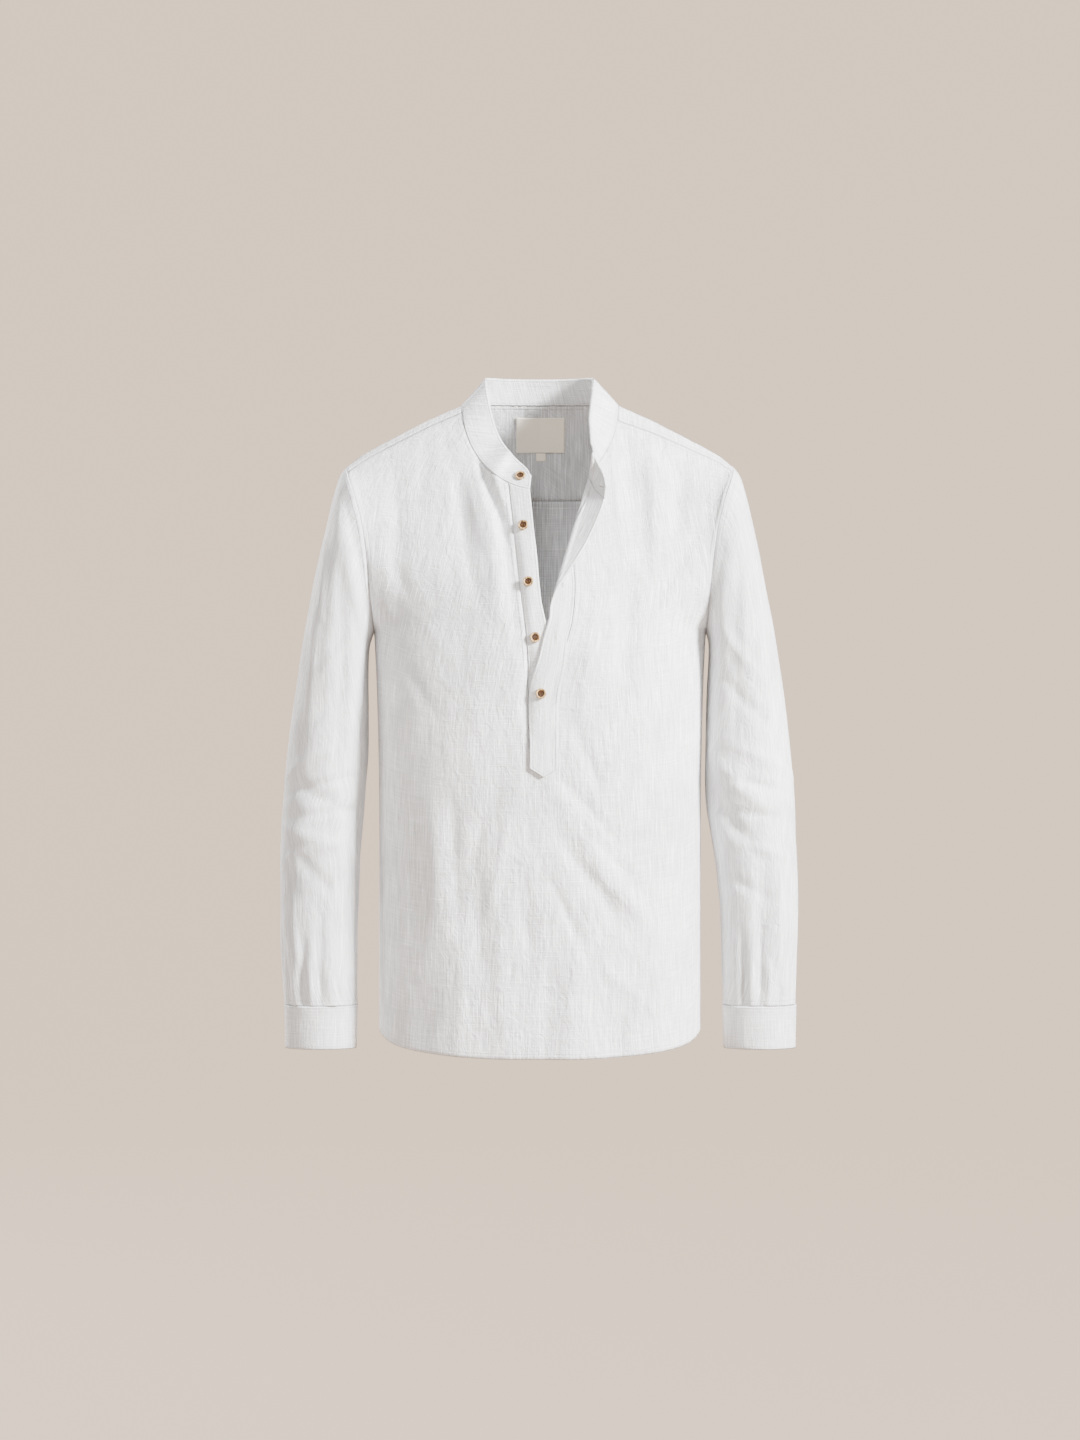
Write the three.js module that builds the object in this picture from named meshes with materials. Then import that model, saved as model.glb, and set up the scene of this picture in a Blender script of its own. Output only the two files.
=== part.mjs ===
// A long-sleeved linen shirt with a standing band collar and a half-length button placket.
// It is filled out as if worn and hollow, with every cloth piece a thin wall of its own.
// Millimetres, +Z up, the front faces -Y, +X is the viewer's right. The origin is in the middle of the neck
// on the level of the shoulder seams.
import * as THREE from 'three';

// Cloth
const CLOTH = 1.5;
const PLACKET_CLOTH = 2.1;
const BAND_CLOTH = 2.4;
const CUFF_CLOTH = 2.2;
const LABEL_CLOTH = 1.0;
const SEAM_INSET = 0.15;
const ARMHOLE_GAP = 0.3;
const REST_GAP = 0.4;

// Body of the shirt
const FRONT = -1;
const BACK = 1;
const SECTION_POWER = 2.4;
const CAP = {
  [FRONT]: { height: 300, power: 1.3 },
  [BACK]: { height: 200, power: 1.5 },
};
const SHOULDER_X = 206.5;
const SHOULDER_Z = -66;
const UNDERARM_Z = -240;
const ARMHOLE_POWER = 2.3;
const ARMHOLE_DEPTH = { [FRONT]: 58, [BACK]: 64 };
const BACK_SEAM_Z = -97;
const SIDE_HEM_Z = -667;
const HEM_DROP = { [FRONT]: 25, [BACK]: 29 };

// Neckline and collar
const NECK_X = 83.5;
const NECK_FRONT_DROP = 94;
const NECK_BACK_RISE = 3.5;
const BAND_ROWS = 3;

// Placket
const PLACKET_WIDTH = 25.7;
const SLIT_FOOT_Z = -362;
const PLACKET_FOOT_Z = -388;
const PLACKET_POINT = 9;
const LAP = 4;
const LAP_RISE = 2.8;
const PLACKET_EDGE_GAP = 0.6;

// Sleeves and cuffs
const CUFF_TOP_Z = -640;
const CUFF_FOOT_Z = -686;
const CUFF_LAP_DEGREES = 26;
const CUFF_LAP_RISE = 2.7;
const CUFF_OPENING_DEGREES = -78;
const SLEEVE_PLACKET = { width: 24, length: 118, degrees: -92 };

// Buttons
const BUTTON = { radius: 5.7, thickness: 2.5, rim: 1.3, dish: 0.6, standOff: 0.5 };
const BUTTON_SEGMENTS = 16;

const WHITE_LINEN = new THREE.MeshStandardMaterial({ color: 0xf3f3f2, roughness: 0.9, metalness: 0 });
const CREAM_LABEL = new THREE.MeshStandardMaterial({ color: 0xefe3d0, roughness: 0.8, metalness: 0 });
const HORN = new THREE.MeshStandardMaterial({ color: 0xc79f72, roughness: 0.4, metalness: 0 });

// Half width and the depth in front and behind, from the hem up to the shoulder.
const bodySections = [
  { z: -700, half: 171.5, front: 110, back: 110 },
  { z: -520, half: 171.5, front: 112, back: 109 },
  { z: -400, half: 172.0, front: 114, back: 108 },
  { z: -300, half: 174.5, front: 115, back: 108 },
  { z: -240, half: 177.5, front: 114, back: 110 },
  { z: -200, half: 180.5, front: 113, back: 111 },
  { z: -160, half: 184.5, front: 112, back: 112 },
  { z: -130, half: 189.0, front: 112, back: 112 },
  { z: -100, half: 196.5, front: 112, back: 112 },
  { z: -66, half: 206.5, front: 112, back: 112 },
  { z: 40, half: 206.5, front: 112, back: 112 },
];

// The shoulder line from the middle of the neck outwards. Inside the neck it only shapes the cloth below.
const shoulderLine = [
  { x: 0, z: 40 },
  { x: 20, z: 37 },
  { x: 40, z: 29 },
  { x: 60, z: 18 },
  { x: 83.5, z: 0 },
  { x: 100, z: -7.5 },
  { x: 121, z: -17 },
  { x: 163, z: -38.5 },
  { x: 190, z: -53.5 },
  { x: 206.5, z: -66 },
];

// How far the front shoulder seam lies below the shoulder line, at the neck and at the armhole.
const shoulderSeam = {
  left: { neck: 7, armhole: 7 },
  right: { neck: 17, armhole: 7 },
};

// The under placket, on the viewer's left: its stitched edge and its free edge.
const underPlacket = [
  { z: -86, stitch: -33.6, free: -11.4 },
  { z: -124, stitch: -29.4, free: -7.7 },
  { z: -164, stitch: -25.1, free: -3.2 },
  { z: -212, stitch: -19.3, free: 1.4 },
  { z: -249, stitch: -15.0, free: 9.0 },
  { z: -304, stitch: -12.4, free: 13.0 },
  { z: -362, stitch: -11.4, free: 13.8 },
  { z: -700, stitch: -11.4, free: 13.8 },
];

// The over placket, on the viewer's right. The cloth left of "start" rolls forward and lies back over the
// front: "turned" is how much of it, "radius" is the roll's, "slope" is the drop of the turned part for each
// millimetre, and "spread" is how much of its width is seen from the front.
const overPlacket = [
  { z: -60, start: 62.5, turned: 48.0, radius: 5.2, slope: 0.14, spread: 0.45 },
  { z: -73, start: 58.5, turned: 45.0, radius: 5.0, slope: 0.18, spread: 0.5 },
  { z: -100, start: 49.6, turned: 38.8, radius: 4.6, slope: 0.3, spread: 0.67 },
  { z: -138, start: 37.6, turned: 29.9, radius: 4.0, slope: 0.35, spread: 0.72 },
  { z: -169, start: 28.1, turned: 18.8, radius: 3.6, slope: 0.35, spread: 0.75 },
  { z: -200, start: 19.0, turned: 8.0, radius: 3.3, slope: 0.3, spread: 0.8 },
  { z: -232, start: 9.5, turned: 1.5, radius: 3.0, slope: 0.2, spread: 0.8 },
  { z: -252, start: 3.2, turned: 0.0, radius: 3.0, slope: 0, spread: 0.8 },
  { z: -304, start: -8.8, turned: 0.0, radius: 3.0, slope: 0, spread: 0.8 },
  { z: -320, start: -10.5, turned: 0.0, radius: 3.0, slope: 0, spread: 0.8 },
  { z: -357, start: -10.9, turned: 0.0, radius: 3.0, slope: 0, spread: 0.8 },
  { z: -700, start: -10.9, turned: 0.0, radius: 3.0, slope: 0, spread: 0.8 },
];

// From the neck seam up to the collar's top edge, by the angle round the neck: 0 is the middle of the back,
// negative is the viewer's left. On the viewer's right the front end is turned out with the placket.
const collarRise = [
  { angle: -172, x: 1.5, y: 9, z: 15 },
  { angle: -168, x: 4.0, y: 12, z: 21 },
  { angle: -156, x: 10, y: 16, z: 25 },
  { angle: -140, x: 18, y: 13, z: 25 },
  { angle: -120, x: 25, y: 9, z: 23 },
  { angle: -105, x: 27, y: 4, z: 26 },
  { angle: -90, x: 26, y: 0, z: 28.5 },
  { angle: -60, x: 22, y: 1.5, z: 29 },
  { angle: -30, x: 11.7, y: -5.5, z: 28 },
  { angle: 0, x: 0, y: -9.5, z: 27.5 },
  { angle: 30, x: -11.7, y: -5.5, z: 28 },
  { angle: 60, x: -22, y: 1.5, z: 29 },
  { angle: 90, x: -27, y: 0, z: 28.5 },
  { angle: 105, x: -27, y: -3, z: 26 },
  { angle: 115, x: -23.5, y: -8, z: 23 },
  { angle: 124, x: -16, y: -20, z: 20 },
  { angle: 131, x: -9, y: -27, z: 17 },
  { angle: 140, x: 1.6, y: -25, z: 22 },
  { angle: 150, x: 3, y: -9, z: 26 },
  { angle: 160, x: 5, y: -3, z: 23 },
  { angle: 167, x: 4, y: -3, z: 19 },
  { angle: 171, x: 2, y: -2, z: 14 },
];

// The largest folds of the body: a soft ridge (height > 0) or trough (height < 0) along a line.
const bodyFolds = [
  { side: FRONT, x1: -44, z1: -82, x2: -20, z2: -265, width: 7, height: -4.0 },
  { side: FRONT, x1: -58, z1: -70, x2: -42, z2: -230, width: 9, height: 3.0 },
  { side: FRONT, x1: -80, z1: -40, x2: -72, z2: -150, width: 9, height: -2.6 },
  { side: FRONT, x1: -150, z1: -80, x2: -152, z2: -220, width: 12, height: -3.5 },
  { side: FRONT, x1: -165, z1: -110, x2: -160, z2: -260, width: 8, height: 2.5 },
  { side: FRONT, x1: 92, z1: -30, x2: 104, z2: -170, width: 9, height: -3.2 },
  { side: FRONT, x1: 118, z1: -50, x2: 128, z2: -150, width: 10, height: 2.6 },
  { side: FRONT, x1: 150, z1: -60, x2: 142, z2: -150, width: 11, height: -3.6 },
  { side: FRONT, x1: 96, z1: -190, x2: 84, z2: -320, width: 12, height: -3.6 },
  { side: FRONT, x1: -13, z1: -270, x2: -12, z2: -352, width: 6, height: -4.2 },
  { side: FRONT, x1: 12, z1: -405, x2: 104, z2: -535, width: 10, height: 2.8 },
  { side: FRONT, x1: 22, z1: -460, x2: 92, z2: -560, width: 9, height: -3.0 },
  { side: FRONT, x1: -112, z1: -430, x2: -104, z2: -565, width: 12, height: 3.2 },
  { side: FRONT, x1: -68, z1: -485, x2: -60, z2: -600, width: 11, height: -3.2 },
  { side: FRONT, x1: -18, z1: -520, x2: -12, z2: -585, width: 9, height: -2.6 },
  { side: FRONT, x1: 84, z1: -640, x2: 78, z2: -700, width: 14, height: -4.5 },
  { side: FRONT, x1: 40, z1: -560, x2: 30, z2: -700, width: 14, height: 3.0 },
  { side: FRONT, x1: -120, z1: -600, x2: -128, z2: -700, width: 16, height: -3.5 },
  { side: BACK, x1: -140, z1: -120, x2: -96, z2: -330, width: 16, height: -4.2 },
  { side: BACK, x1: 140, z1: -120, x2: 88, z2: -350, width: 16, height: -4.6 },
  { side: BACK, x1: -100, z1: -130, x2: -52, z2: -400, width: 14, height: 3.4 },
  { side: BACK, x1: 96, z1: -140, x2: 60, z2: -380, width: 14, height: 3.0 },
  { side: BACK, x1: -30, z1: -300, x2: -44, z2: -700, width: 18, height: -4.4 },
  { side: BACK, x1: 48, z1: -360, x2: 66, z2: -700, width: 18, height: -4.0 },
  { side: BACK, x1: 6, z1: -330, x2: 12, z2: -700, width: 15, height: 3.4 },
  { side: BACK, x1: -104, z1: -440, x2: -96, z2: -700, width: 16, height: 3.2 },
  { side: BACK, x1: 120, z1: -470, x2: 126, z2: -700, width: 15, height: 3.0 },
];

// Sleeve rings, from the armhole (step 0) to the cuff: the outer and the inner point seen from the front,
// the depth in front and behind, and how far forward the middle lies.
const sleeveRings = {
  left: [
    { step: 0, outX: 206.5, outZ: -66, inX: 177.5, inZ: -240, front: 58, back: 64, mid: 0 },
    { step: 1, outX: 214, outZ: -77, inX: 181, inZ: -250, front: 63, back: 68, mid: 0 },
    { step: 2, outX: 221, outZ: -100, inX: 183, inZ: -257, front: 66, back: 69, mid: 0 },
    { step: 3, outX: 228.5, outZ: -132, inX: 184, inZ: -267, front: 67, back: 68, mid: 0 },
    { step: 4, outX: 237, outZ: -170, inX: 184.5, inZ: -282, front: 66, back: 66, mid: 1 },
    { step: 5, outX: 245.5, outZ: -212, inX: 184.5, inZ: -300, front: 64, back: 63, mid: 1 },
    { step: 6, outX: 253, outZ: -256, inX: 184, inZ: -322, front: 61, back: 60, mid: 2 },
    { step: 7, outX: 260, outZ: -300, inX: 184, inZ: -346, front: 58, back: 57, mid: 2 },
    { step: 8, outX: 266, outZ: -344, inX: 185, inZ: -374, front: 56, back: 55, mid: 3 },
    { step: 9, outX: 271, outZ: -386, inX: 187, inZ: -402, front: 54, back: 53, mid: 3 },
    { step: 10, outX: 274, outZ: -424, inX: 189, inZ: -430, front: 52.5, back: 51.5, mid: 4 },
    { step: 11, outX: 275.5, outZ: -458, inX: 191.5, inZ: -460, front: 50.5, back: 50, mid: 5 },
    { step: 12, outX: 276.5, outZ: -492, inX: 193.5, inZ: -492, front: 49, back: 49, mid: 7 },
    { step: 13, outX: 276.5, outZ: -526, inX: 194.5, inZ: -526, front: 47.5, back: 47.5, mid: 9 },
    { step: 14, outX: 276, outZ: -560, inX: 195.5, inZ: -560, front: 45.5, back: 45.5, mid: 11 },
    { step: 15, outX: 275, outZ: -592, inX: 195.5, inZ: -592, front: 43.5, back: 43.5, mid: 13 },
    { step: 16, outX: 273.5, outZ: -620, inX: 195.5, inZ: -620, front: 41, back: 41, mid: 15 },
    { step: 17, outX: 272, outZ: CUFF_TOP_Z, inX: 195.5, inZ: CUFF_TOP_Z, front: 38, back: 38, mid: 16 },
  ],
  right: [
    { step: 0, outX: 206.5, outZ: -66, inX: 177.5, inZ: -240, front: 58, back: 64, mid: 0 },
    { step: 1, outX: 214, outZ: -77, inX: 180.5, inZ: -250, front: 63, back: 68, mid: 0 },
    { step: 2, outX: 221, outZ: -100, inX: 181.5, inZ: -257, front: 66, back: 69, mid: 0 },
    { step: 3, outX: 228.5, outZ: -132, inX: 181.5, inZ: -267, front: 67, back: 68, mid: 0 },
    { step: 4, outX: 236.5, outZ: -170, inX: 181, inZ: -282, front: 66, back: 66, mid: 1 },
    { step: 5, outX: 244.5, outZ: -212, inX: 180, inZ: -300, front: 64, back: 63, mid: 1 },
    { step: 6, outX: 252, outZ: -256, inX: 179, inZ: -322, front: 61, back: 60, mid: 2 },
    { step: 7, outX: 259, outZ: -300, inX: 178, inZ: -346, front: 58, back: 57, mid: 2 },
    { step: 8, outX: 264.5, outZ: -344, inX: 177.5, inZ: -374, front: 56, back: 55, mid: 3 },
    { step: 9, outX: 269, outZ: -386, inX: 177.5, inZ: -402, front: 54, back: 53, mid: 3 },
    { step: 10, outX: 272, outZ: -424, inX: 179, inZ: -430, front: 52, back: 51, mid: 4 },
    { step: 11, outX: 273.5, outZ: -458, inX: 183.5, inZ: -460, front: 50, back: 49.5, mid: 5 },
    { step: 12, outX: 275, outZ: -492, inX: 189, inZ: -492, front: 48.5, back: 48.5, mid: 7 },
    { step: 13, outX: 275.5, outZ: -526, inX: 192.5, inZ: -526, front: 47, back: 47, mid: 9 },
    { step: 14, outX: 275, outZ: -560, inX: 194.5, inZ: -560, front: 45.5, back: 45.5, mid: 11 },
    { step: 15, outX: 274, outZ: -592, inX: 195.5, inZ: -592, front: 43.5, back: 43.5, mid: 13 },
    { step: 16, outX: 273.3, outZ: -620, inX: 195.5, inZ: -620, front: 41, back: 41, mid: 15 },
    { step: 17, outX: 272.8, outZ: CUFF_TOP_Z, inX: 195.7, inZ: CUFF_TOP_Z, front: 38, back: 38, mid: 16 },
  ],
};
const SLEEVE_POWER = 2.15;
const SLEEVE_DEGREE = 0.85;

// The largest folds of the sleeves, by the angle round the arm (0 is outside, 90 is the front) and height.
const sleeveFolds = {
  left: [
    { angle1: 40, z1: -160, angle2: 62, z2: -350, width: 9, height: 3.0 },
    { angle1: 95, z1: -200, angle2: 112, z2: -390, width: 11, height: -3.6 },
    { angle1: 30, z1: -400, angle2: 130, z2: -432, width: 9, height: -3.4 },
    { angle1: 20, z1: -450, angle2: 120, z2: -470, width: 8, height: 3.0 },
    { angle1: 60, z1: -480, angle2: 110, z2: -520, width: 8, height: -2.8 },
    { angle1: 70, z1: -560, angle2: 66, z2: -650, width: 6, height: -2.4 },
    { angle1: 108, z1: -575, angle2: 112, z2: -650, width: 6, height: 2.2 },
    { angle1: 30, z1: -570, angle2: 34, z2: -650, width: 6, height: -2.2 },
    { angle1: -60, z1: -380, angle2: -140, z2: -420, width: 10, height: 3.2 },
    { angle1: -50, z1: -430, angle2: -130, z2: -455, width: 9, height: -3.4 },
    { angle1: -70, z1: -160, angle2: -100, z2: -330, width: 12, height: -3.6 },
    { angle1: -120, z1: -580, angle2: -124, z2: -650, width: 6, height: -2.4 },
  ],
  right: [
    { angle1: 150, z1: -372, angle2: 70, z2: -432, width: 9, height: 3.8 },
    { angle1: 150, z1: -412, angle2: 96, z2: -470, width: 10, height: -4.4 },
    { angle1: 40, z1: -150, angle2: 58, z2: -330, width: 10, height: 3.0 },
    { angle1: 96, z1: -170, angle2: 104, z2: -360, width: 12, height: -3.6 },
    { angle1: 84, z1: -486, angle2: 92, z2: -620, width: 7, height: -3.0 },
    { angle1: 60, z1: -470, angle2: 66, z2: -610, width: 7, height: 2.6 },
    { angle1: 120, z1: -560, angle2: 116, z2: -650, width: 6, height: -2.4 },
    { angle1: 30, z1: -580, angle2: 30, z2: -650, width: 6, height: -2.2 },
    { angle1: -60, z1: -380, angle2: -140, z2: -420, width: 10, height: 3.2 },
    { angle1: -50, z1: -430, angle2: -130, z2: -455, width: 9, height: -3.4 },
    { angle1: -70, z1: -160, angle2: -100, z2: -330, width: 12, height: -3.6 },
    { angle1: -120, z1: -580, angle2: -124, z2: -650, width: 6, height: -2.4 },
  ],
};

const frontButtons = [
  { name: 'button_2', x: -17.4, z: -132 },
  { name: 'button_3', x: -11.9, z: -192 },
  { name: 'button_4', x: -5.0, z: -250.5 },
];
const topButtonAngle = -163.5;
const lowerButton = { name: 'button_5', x: 1.2, z: -309 };
const neckLabel = { left: -26, right: 27, top: -8, bottom: -45 };
const sizeTab = { left: -4.3, right: 6.4, top: -45.4, bottom: -53.5 };

const clamp = (value, low, high) => Math.min(high, Math.max(low, value));
const lerp = (a, b, share) => a + (b - a) * share;
const radians = (degrees) => (degrees * Math.PI) / 180;
const smoothstep = (low, high, value) => {
  const share = clamp((value - low) / (high - low), 0, 1);
  return share * share * (3 - 2 * share);
};
const signedPower = (value, power) => Math.sign(value) * Math.abs(value) ** power;

// Reads a column of a table at any key, on a smooth curve through its rows.
function readTable(rows, key, column, at) {
  const upward = rows[0][key] < rows[rows.length - 1][key];
  const sorted = upward ? rows : [...rows].reverse();
  const last = sorted.length - 1;
  const value = clamp(at, sorted[0][key], sorted[last][key]);
  let low = 0;
  while (low < last - 1 && sorted[low + 1][key] < value) low += 1;
  const slopeAt = (index) => {
    const before = sorted[Math.max(0, index - 1)];
    const after = sorted[Math.min(last, index + 1)];
    return (after[column] - before[column]) / (after[key] - before[key]);
  };
  const from = sorted[low];
  const to = sorted[low + 1];
  const span = to[key] - from[key];
  const t = (value - from[key]) / span;
  const rise = 3 * t * t - 2 * t * t * t;
  const early = t * t * t - 2 * t * t + t;
  const late = t * t * t - t * t;
  const lean = early * slopeAt(low) + late * slopeAt(low + 1);
  return lerp(from[column], to[column], rise) + lean * span;
}

// Height of one fold at a place, as a rounded ridge round a line.
function foldHeight(fold, u, v, u1, v1, u2, v2) {
  const alongU = u2 - u1;
  const alongV = v2 - v1;
  const share = clamp(((u - u1) * alongU + (v - v1) * alongV) / (alongU ** 2 + alongV ** 2), 0, 1);
  const distance = Math.hypot(u - u1 - share * alongU, v - v1 - share * alongV);
  const taper = 0.35 + 0.65 * Math.sin(Math.PI * share);
  return fold.height * taper * Math.exp(-((distance / fold.width) ** 2));
}

const halfWidth = (z) => readTable(bodySections, 'z', 'half', z);
const ridgeZ = (x) => readTable(shoulderLine, 'x', 'z', Math.abs(x));

// How deep the rounding below the shoulder line has come, from 0 at the line to 1.
function capShare(side, below) {
  const { height, power } = CAP[side];
  const share = clamp(below / height, 0, 1);
  return (1 - (1 - share) ** power) ** (1 / power);
}

// Depth of the armhole's oval at a height. Away from the armhole, at a smaller share of the half width, its
// lower end runs out softly.
function armholeDepth(side, z, share) {
  const middle = (SHOULDER_Z + UNDERARM_Z) / 2;
  const half = (SHOULDER_Z - UNDERARM_Z) / 2;
  const height = clamp(Math.abs(z - middle) / half, 0, 1);
  const softness = 1.3 * (1 - share ** 8) * smoothstep(0, 40, middle - z);
  return ARMHOLE_DEPTH[side] * (1 - height ** ARMHOLE_POWER) ** (1 / ARMHOLE_POWER + softness);
}

// A point of the body's cloth, front or back, at x and z.
function bodyPoint(side, x, z) {
  const half = halfWidth(z);
  const share = clamp(Math.abs(x) / half, 0, 1);
  const round = (1 - share ** SECTION_POWER) ** (1 / SECTION_POWER);
  const ridge = ridgeZ(x);
  const cap = capShare(side, ridge - z);
  const middle = readTable(bodySections, 'z', side === FRONT ? 'front' : 'back', z) * cap;
  const carried = z - (ridge - SHOULDER_Z) * smoothstep(-200, -20, z);
  const edge = armholeDepth(side, carried, share);
  let fold = 0;
  for (const row of bodyFolds) {
    if (row.side === side) fold += foldHeight(row, x, z, row.x1, row.z1, row.x2, row.z2);
  }
  const fade = (1 - share ** 10) * smoothstep(0, 0.3, cap);
  return new THREE.Vector3(x, side * (middle * round + edge * (1 - round) + fold * fade), z);
}

// The right half of the front: the cloth left of the roll's start comes forward and lies back to the right.
function rolledFront(x, z) {
  const start = readTable(overPlacket, 'z', 'start', z);
  const past = start - x;
  if (past <= 0 || readTable(overPlacket, 'z', 'turned', z) <= 0.01) return bodyPoint(FRONT, x, z);
  const radius = readTable(overPlacket, 'z', 'radius', z);
  const spread = readTable(overPlacket, 'z', 'spread', z);
  const turn = Math.min(past / radius, Math.PI);
  const beyond = Math.max(0, past - Math.PI * radius);
  const rolledX = start - radius * Math.sin(turn) + spread * beyond;
  const rolledZ = z - readTable(overPlacket, 'z', 'slope', z) * past;
  const forward = radius * (1 - Math.cos(turn)) + Math.sqrt(1 - spread ** 2) * beyond;
  const carrier = bodyPoint(FRONT, rolledX, lerp(z, rolledZ, 0.5));
  return new THREE.Vector3(rolledX, carrier.y - forward, rolledZ);
}

// Moves a surface's point along its normal, found from two close neighbours.
function raised(surface, u, v, amount, outward) {
  const step = 0.5;
  const point = surface(u, v);
  const alongU = surface(u + step, v).sub(surface(u - step, v));
  const alongV = surface(u, v + step).sub(surface(u, v - step));
  const normal = alongU.cross(alongV).normalize();
  if (normal.dot(outward) < 0) normal.negate();
  return point.addScaledVector(normal, amount);
}

const underStitch = (z) => readTable(underPlacket, 'z', 'stitch', z);
const underFree = (z) => readTable(underPlacket, 'z', 'free', z);
const overFree = (z) => readTable(overPlacket, 'z', 'start', z) - readTable(overPlacket, 'z', 'turned', z);
const overStitch = (z) => overFree(z) + PLACKET_WIDTH;

const hemZ = (side, share) => SIDE_HEM_Z - HEM_DROP[side] * (1 - 0.56 * share ** 2.5 - 0.44 * share ** 16);
const neckX = (angle) => NECK_X * Math.sin(radians(angle));
const neckZ = (angle) => {
  const rise = Math.abs(angle) > 90 ? NECK_FRONT_DROP : NECK_BACK_RISE;
  return rise * Math.cos(radians(angle));
};

// A point of the neckline. Over 90 degrees from the middle of the back it is on the front.
function neckPoint(angle) {
  const side = Math.abs(angle) > 90 ? FRONT : BACK;
  if (angle > 90) return rolledFront(neckX(angle), neckZ(angle));
  return bodyPoint(side, neckX(angle), neckZ(angle));
}

const seamDrop = (hand, x) => {
  const { neck, armhole } = shoulderSeam[hand];
  return lerp(neck, armhole, clamp((Math.abs(x) - NECK_X) / (SHOULDER_X - NECK_X), 0, 1));
};

// The angle on the neckline where the front shoulder seam meets it.
function cornerAngle(hand) {
  let fromSide = 0;
  for (let turn = 0; turn < 8; turn += 1) {
    const x = NECK_X * Math.cos(fromSide);
    fromSide = Math.asin((seamDrop(hand, x) - ridgeZ(x)) / NECK_FRONT_DROP);
  }
  return 90 + THREE.MathUtils.radToDeg(fromSide);
}

// The angle on the neckline where a placket's edge meets it.
function edgeAngle(edgeAt, start) {
  let angle = start;
  for (let turn = 0; turn < 12; turn += 1) {
    const share = clamp(Math.abs(edgeAt(neckZ(angle))) / NECK_X, 0, 1);
    angle = 180 - THREE.MathUtils.radToDeg(Math.asin(share));
  }
  return angle;
}

// Cloth
// A piece starts as a grid of points on the middle of its cloth, columns by rows, with a rule for the cells
// that are cloth. The points at a seam are the same in both pieces, so both walls lean the same way there.
const pieces = [];
const seamNormals = new Map();
const seamKey = (point) => point.toArray().map((value) => Math.round(value * 50)).join(' ');

function addPiece(name, grid, options) {
  const { thickness, material, hasCell = () => true, closed = false, outside = 1 } = options;
  const { inset = SEAM_INSET, ownSeams = false } = options;
  const columns = grid.length;
  const rows = grid[0].length;
  const cells = [];
  const spans = closed ? columns : columns - 1;
  for (let column = 0; column < spans; column += 1) {
    for (let row = 0; row < rows - 1; row += 1) {
      if (hasCell(column, row)) cells.push([column, row]);
    }
  }
  const indexOf = (column, row) => (column % columns) * rows + row;
  const normals = grid.map((line) => line.map(() => new THREE.Vector3()));
  const at = (column, row) => grid[column % columns][row];
  for (const [column, row] of cells) {
    const across = at(column + 1, row + 1).clone().sub(at(column, row));
    const back = at(column, row + 1).clone().sub(at(column + 1, row));
    const normal = across.cross(back).multiplyScalar(outside);
    const corners = [[column, row], [column + 1, row], [column + 1, row + 1], [column, row + 1]];
    for (const [c, r] of corners) normals[c % columns][r].add(normal);
  }
  pieces.push({ name, grid, cells, normals, indexOf, thickness, material, outside, inset, ownSeams });
  for (let column = 0; column < columns; column += 1) {
    for (let row = 0; row < rows; row += 1) {
      const normal = normals[column][row];
      if (normal.lengthSq() === 0) continue;
      normal.normalize();
      if (ownSeams) continue;
      const key = seamKey(grid[column][row]);
      const sum = seamNormals.get(key) ?? new THREE.Vector3();
      seamNormals.set(key, sum.add(normal));
    }
  }
}

// A sleeve's edge stands off the armhole's, further where the two cloths lie face to face.
function seamShift(piece, column) {
  const point = piece.grid[column][0];
  const own = piece.normals[column][0].clone().normalize();
  const other = seamNormals.get(seamKey(point)).clone().normalize();
  const faceToFace = 1 - own.dot(other);
  return new THREE.Vector3(Math.sign(point.x) * (ARMHOLE_GAP + (CLOTH / 2) * faceToFace), 0, 0);
}

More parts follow.
